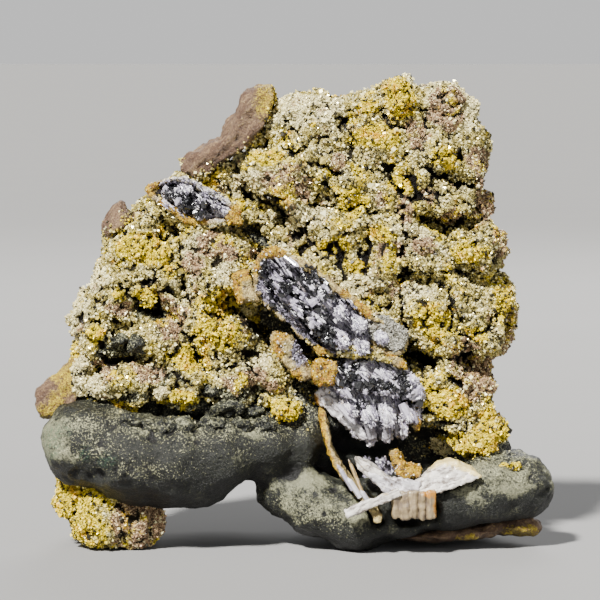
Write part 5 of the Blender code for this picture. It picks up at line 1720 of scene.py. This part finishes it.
def grow_laths(node, tree, beds, black, big, rng):
    """Pale laths that lean out of a bed, fewer where the black crystals are, then the big ones."""
    growth = Growth()
    for oval, lean, count, lengths, radii in beds:
        shown = spots_in(oval, count, rng)
        shown = shown[patches(shown, black) + rng.uniform(0, 0.9, count) < 1.0]
        for (place, facing), spot in zip(struck(tree, shown), shown):
            tall, radius, flat = rng.uniform(*lengths), rng.uniform(*radii), rng.uniform(0.35, 0.8)
            glint, jitter = rng.uniform(), rng.normal(0, 0.13, 3)
            spin, stain = rng.uniform(0, math.tau), rng.uniform()
            if place is None:
                continue
            direction = np.array(lean) + jitter + np.array(facing) * 0.15
            marks = {"glint": glint, "stain": stain * 0.6, "smoky": smoke(node, spot[1])}
            add_lath(growth, place, direction, spin, (radius, radius * flat, tall), **marks)
    for across, up, tall, width, lean, glint in big:
        (place, _), spin, stain = struck(tree, [(across, up)])[0], rng.uniform(0, math.tau), rng.uniform()
        if place is None:
            raise RuntimeError(f"no ground under the crystal at {across}, {up}")
        marks = {"glint": glint, "stain": stain * 0.5, "smoky": smoke(node, up)}
        direction = (math.cos(math.radians(lean)), -0.12, math.sin(math.radians(lean)))
        add_lath(growth, place, direction, spin, (width / 2, width * 0.42, tall), **marks)
    finish = lath_finish(colours(), beds[0][1])
    piece_from(growth.mesh(f"{node}_laths"), [node], finish, False)


def grow_black(node, tree, table, rng, per_area=3.4, size=0.75):
    """Black blocky crystals, crowded in each oval of the table."""
    shapes = [blocky(rng) for _ in range(9)]
    growth = Growth()
    for oval in table:
        count = int(per_area * math.pi * oval[2] * oval[3]) + 2
        for place, facing in struck(tree, spots_in(oval, count, rng)):
            across_size, glint = size * math.exp(rng.normal(0, 0.4)), rng.uniform()
            turns, lift, kind = tumbled(rng, 1), rng.uniform(-0.1, 0.5), rng.integers(9)
            stretch = across_size * rng.uniform(0.75, 1.3, (1, 3))
            if place is None:
                continue
            middle = np.array(place) + np.array(facing) * across_size * lift
            growth.add(shapes[kind], middle[None], turns, stretch, glint=np.array([glint]))
    piece_from(growth.mesh(f"{node}_black"), [node], black_finish(colours()), False)


# The big crystals of the vein and of the lower mass: across, up, length, width, lean in degrees, shade
VEIN_BIG = [
    (2.3, 56.2, 2.3, 2.0, 60, 0.55), (4.9, 55.0, 3.4, 1.9, 38, 0.62), (5.6, 56.0, 1.6, 1.2, 40, 0.80),
    (-0.1, 54.9, 3.2, 1.4, -28, 0.66), (4.2, 49.9, 1.9, 1.5, 70, 0.72), (1.0, 52.6, 3.0, 1.0, -40, 0.45),
    (-0.9, 52.4, 5.0, 0.8, -56, 0.80), (-0.1, 51.4, 5.4, 0.7, -58, 0.60), (0.9, 50.2, 5.0, 0.8, -55, 0.86),
    (-5.2, 63.2, 4.4, 0.9, -30, 0.72), (-3.6, 62.2, 4.6, 0.9, -32, 0.58), (-2.2, 61.2, 4.4, 1.0, -36, 0.80),
    (-5.4, 61.4, 4.0, 0.7, -44, 0.50), (-4.2, 59.8, 4.6, 0.6, -48, 0.62), (-2.4, 59.0, 4.4, 0.6, -48, 0.40),
    (-2.8, 57.0, 3.4, 0.6, -46, 0.55), (0.6, 60.0, 3.0, 0.9, -40, 0.62),
]
LOWER_BIG = [
    (16.8, 26.0, 4.2, 2.6, -74, 0.60), (20.1, 26.0, 4.4, 1.7, -86, 0.50), (22.6, 26.6, 4.0, 1.9, -84, 0.40),
    (18.4, 27.4, 3.8, 1.6, -80, 0.66), (24.6, 30.4, 4.6, 2.0, -64, 0.70), (22.6, 31.0, 4.4, 1.6, -60, 0.62),
    (26.4, 29.2, 3.2, 1.3, -72, 0.50), (9.4, 31.8, 5.6, 1.5, -46, 0.72), (11.6, 30.0, 5.6, 1.4, -48, 0.80),
    (13.4, 28.6, 5.0, 1.5, -50, 0.62), (10.0, 36.6, 5.0, 1.2, -52, 0.84), (11.4, 35.2, 4.6, 1.0, -54, 0.70),
    (26.0, 34.6, 2.6, 2.2, 40, 0.76), (27.2, 35.6, 2.0, 1.6, 60, 0.62), (26.8, 33.6, 2.2, 1.4, 10, 0.84),
    (16.6, 39.4, 4.0, 0.9, -38, 0.90), (19.4, 38.4, 4.4, 0.9, -36, 0.82), (22.0, 36.6, 3.4, 0.9, -40, 0.76),
]
# Laths whose feet are on the thin wall: across, up, length, width, lean in degrees, shade, how brown
WALL_LATHS = [
    (12.6, 14.2, 6.0, 1.3, 121, 0.70, 0.0), (14.2, 12.6, 5.2, 1.5, 122, 0.92, 0.0),
    (15.2, 12.4, 9.6, 1.1, 112, 0.52, 1.0), (16.6, 10.6, 4.4, 1.4, 122, 0.80, 0.3),
    (11.4, 15.8, 4.6, 1.0, 118, 0.60, 0.2),
]
VEIN_DARK = [(-1.2, 56.8, 7.1, 8.1), (6.4, 47.4, 2.6, 2.6)]
POCKET_DARK = [(-23.5, 76.0, 6.0, 3.0)]
# Each group: node, rind round it, beds of laths, black crystals, dark ground, big crystals
CRYSTAL_GROUPS = (
    ("vein_crystals", "vein_shell", VEIN_BEDS, VEIN_BLACK, VEIN_DARK, VEIN_BIG),
    ("lower_crystals", None, LOWER_BEDS, LOWER_BLACK, LOWER_BLACK, LOWER_BIG),
    ("pocket_crystals", "pocket_shell", POCKET_BEDS, POCKET_BLACK, POCKET_DARK, []),
    ("cave_crystals", None, CAVE_BEDS, CAVE_BLACK, CAVE_BLACK, []),
)
# How many crystals of sugar each group has
SUGAR = {"vein_crystals": 2100, "lower_crystals": 2500, "pocket_crystals": 700, "cave_crystals": 300}


def grow_wall_laths():
    """Laths that lie along the thin wall's foot."""
    wall, growth = tree_of("thin_wall"), Growth()
    for across, up, tall, width, lean, glint, brown in WALL_LATHS:
        direction = np.array((math.cos(math.radians(lean)), -0.05, math.sin(math.radians(lean))))
        foot = np.array(struck(wall, [(across, up)])[0][0]) + direction * tall * 0.45
        marks = {"glint": glint, "stain": brown, "smoky": brown * 0.5}
        add_lath(growth, foot, direction, 0.4, (width / 2, width * 0.4, tall), **marks)
    finish = lath_finish(colours(), (-0.4, 0.0, 0.9))
    piece_from(growth.mesh("wall_laths"), ["thin_wall"], finish, False)


class SPECIMEN_OT_crystals(bpy.types.Operator):
    """Grows the laths, sugar and black crystals of the vein, the lower mass, the pocket and the cave"""

    bl_idname = "specimen.crystals"
    bl_label = "Vein crystals"

    def execute(self, context):
        sugar, drops = Growth(), np.random.default_rng(sizes().seed + 60)
        for index, (node, around, beds, black, _, big) in enumerate(CRYSTAL_GROUPS):
            rng = np.random.default_rng(sizes().seed * 10 + index)
            tree = tree_of(*filter(None, (node, around)))
            grow_laths(node, tree, beds, black, big, rng)
            grow_black(node, tree, black, rng)
            mesh = bpy.data.objects[f"{node}_skin"].data
            weight = np.clip(1.4 - kept_mark(mesh, "hollow") * 1.4, 0.05, 1.0)
            weight *= np.clip(0.8 - facing_of(mesh)[:, 1], 0.05, 1.5)
            coat(sugar, mesh, SUGAR[node], weight, ("black", "stain", "hollow"), drops, 0.85, 0.4)
        finish = sugar_finish(colours())
        piece_from(sugar.mesh("crystal_sugar"), list(SUGAR), finish, False)
        grow_wall_laths()
        return {"FINISHED"}


# The studio

VIEW_MIDDLE = (1.36, -8.0, 54.17)  # what the camera looks at
VIEW_WIDTH = 132.0  # how much of that plane the square view takes in
LONG_LENS = 180.0
FLOOR_REACH = 12000.0
SKY_LOW, SKY_HIGH = 0.06, 0.45  # the rises between which the sky turns from the horizon's light to overhead's
LAMP_TARGET = (0.0, 0.0, 0.05)  # metres, as the lamps' own places are
# Each lamp: kind, place, strength, tint and its own settings
LAMPS = {
    "key_light": ("SUN", (-0.34, -0.60, 0.78), 15.5, (1.0, 0.98, 0.94), {"angle": math.radians(6)}),
    "fill_light": ("AREA", (0.62, -0.48, 0.30), 1.6, (0.95, 0.97, 1.0), {"size": 0.4}),
    "back_light": ("AREA", (0.15, 0.72, 0.60), 7.0, (1.0, 1.0, 1.0), {"size": 0.5}),
}


def hang(name, kind, place, strength, tint, settings):
    """A light that shines from a place to the middle of the specimen."""
    light = bpy.data.lights.new(name, kind)
    light.energy, light.color = strength, tint
    for setting, value in settings.items():
        setattr(light, setting, value)
    lamp = bpy.data.objects.new(name, light)
    lamp.location = place
    lamp.rotation_euler = (Vector(LAMP_TARGET) - lamp.location).to_track_quat("-Z", "Y").to_euler()
    bpy.context.scene.collection.objects.link(lamp)


def even_sky(horizon, overhead):
    """Light from all round, of one brightness at the horizon and below and another overhead."""
    world = bpy.data.worlds.new("studio")
    world.use_nodes = True
    sky = Nodes(world.node_tree)
    towards = sky.node("ShaderNodeTexCoord", output="Generated")
    rise = sky.node("ShaderNodeSeparateXYZ", None, {0: towards}, "Z")
    ends = {"From Min": SKY_LOW, "From Max": SKY_HIGH, "To Min": horizon, "To Max": overhead}
    brightness = sky.node("ShaderNodeMapRange", None, {"Value": rise, **ends})
    sky.join(sky.tree.nodes["Background"].inputs["Color"], brightness)
    bpy.context.scene.world = world


def lay_floor():
    """A wide floor of pale paper."""
    paper = Finish("pale_floor", Roughness=0.8, Specular_IOR_Level=0.1)
    tint = paper.mix(paper.cloud(60.0), (0.204, 0.203, 0.201), (0.214, 0.213, 0.211))
    corners = np.array([(-1.0, -1.0, 0.0), (1.0, -1.0, 0.0), (1.0, 1.0, 0.0), (-1.0, 1.0, 0.0)]) * FLOOR_REACH
    mesh = mesh_from("floor", corners, [np.array([[0, 1, 2, 3]])])
    mesh.materials.append(paper.set(Base_Color=tint))
    floor = bpy.data.objects.new("floor", mesh)
    bpy.context.scene.collection.objects.link(floor)


def aim_camera():
    """A camera with a long lens, level with the sight line that the tables' places are seen along."""
    camera = bpy.data.objects.new("camera", bpy.data.cameras.new("camera"))
    camera.data.lens = LONG_LENS
    camera.data.clip_start = 0.01
    back = VIEW_WIDTH * LONG_LENS / camera.data.sensor_width
    camera.location = (Vector(VIEW_MIDDLE) - sight_line() * back) * MM
    camera.rotation_euler = sight_line().to_track_quat("-Z", "Y").to_euler()
    bpy.context.scene.collection.objects.link(camera)
    return camera


class SPECIMEN_OT_stage(bpy.types.Operator):
    """Lays the pale floor, hangs the soft lights and sets up the camera"""

    bl_idname = "specimen.stage"
    bl_label = "Studio"

    def execute(self, context):
        lay_floor()
        for name, lamp in LAMPS.items():
            hang(name, *lamp)
        even_sky(0.73, 0.22)
        context.scene.camera = aim_camera()
        return {"FINISHED"}


class SPECIMEN_PT_panel(bpy.types.Panel):
    """Lists the specimen's pieces."""

    bl_label = "Pyrite specimen"
    bl_space_type = "VIEW_3D"
    bl_region_type = "UI"
    bl_category = "Specimen"

    def draw(self, context):
        for operator in OPERATORS:
            self.layout.operator(operator.bl_idname)
        for group in (context.scene.specimen_sizes, context.scene.specimen_colours):
            for name in group.__annotations__:
                self.layout.prop(group, name)


OPERATORS = (
    SPECIMEN_OT_rock,
    SPECIMEN_OT_crust,
    SPECIMEN_OT_foot,
    SPECIMEN_OT_rinds,
    SPECIMEN_OT_clumps,
    SPECIMEN_OT_walls,
    SPECIMEN_OT_shells,
    SPECIMEN_OT_blades,
    SPECIMEN_OT_beds,
    SPECIMEN_OT_plates,
    SPECIMEN_OT_crumbs,
    SPECIMEN_OT_grains,
    SPECIMEN_OT_crystals,
    SPECIMEN_OT_stage,
)
CLASSES = (SpecimenColours, SpecimenSizes, *OPERATORS, SPECIMEN_PT_panel)


def register():
    for each in CLASSES:
        bpy.utils.register_class(each)
    bpy.types.Scene.specimen_colours = PointerProperty(type=SpecimenColours)
    bpy.types.Scene.specimen_sizes = PointerProperty(type=SpecimenSizes)


def unregister():
    del bpy.types.Scene.specimen_sizes
    del bpy.types.Scene.specimen_colours
    for each in reversed(CLASSES):
        bpy.utils.unregister_class(each)


def main():
    register()
    for operator in OPERATORS:
        group, name = operator.bl_idname.split(".")
        getattr(getattr(bpy.ops, group), name)()


if __name__ == "__main__":
    main()
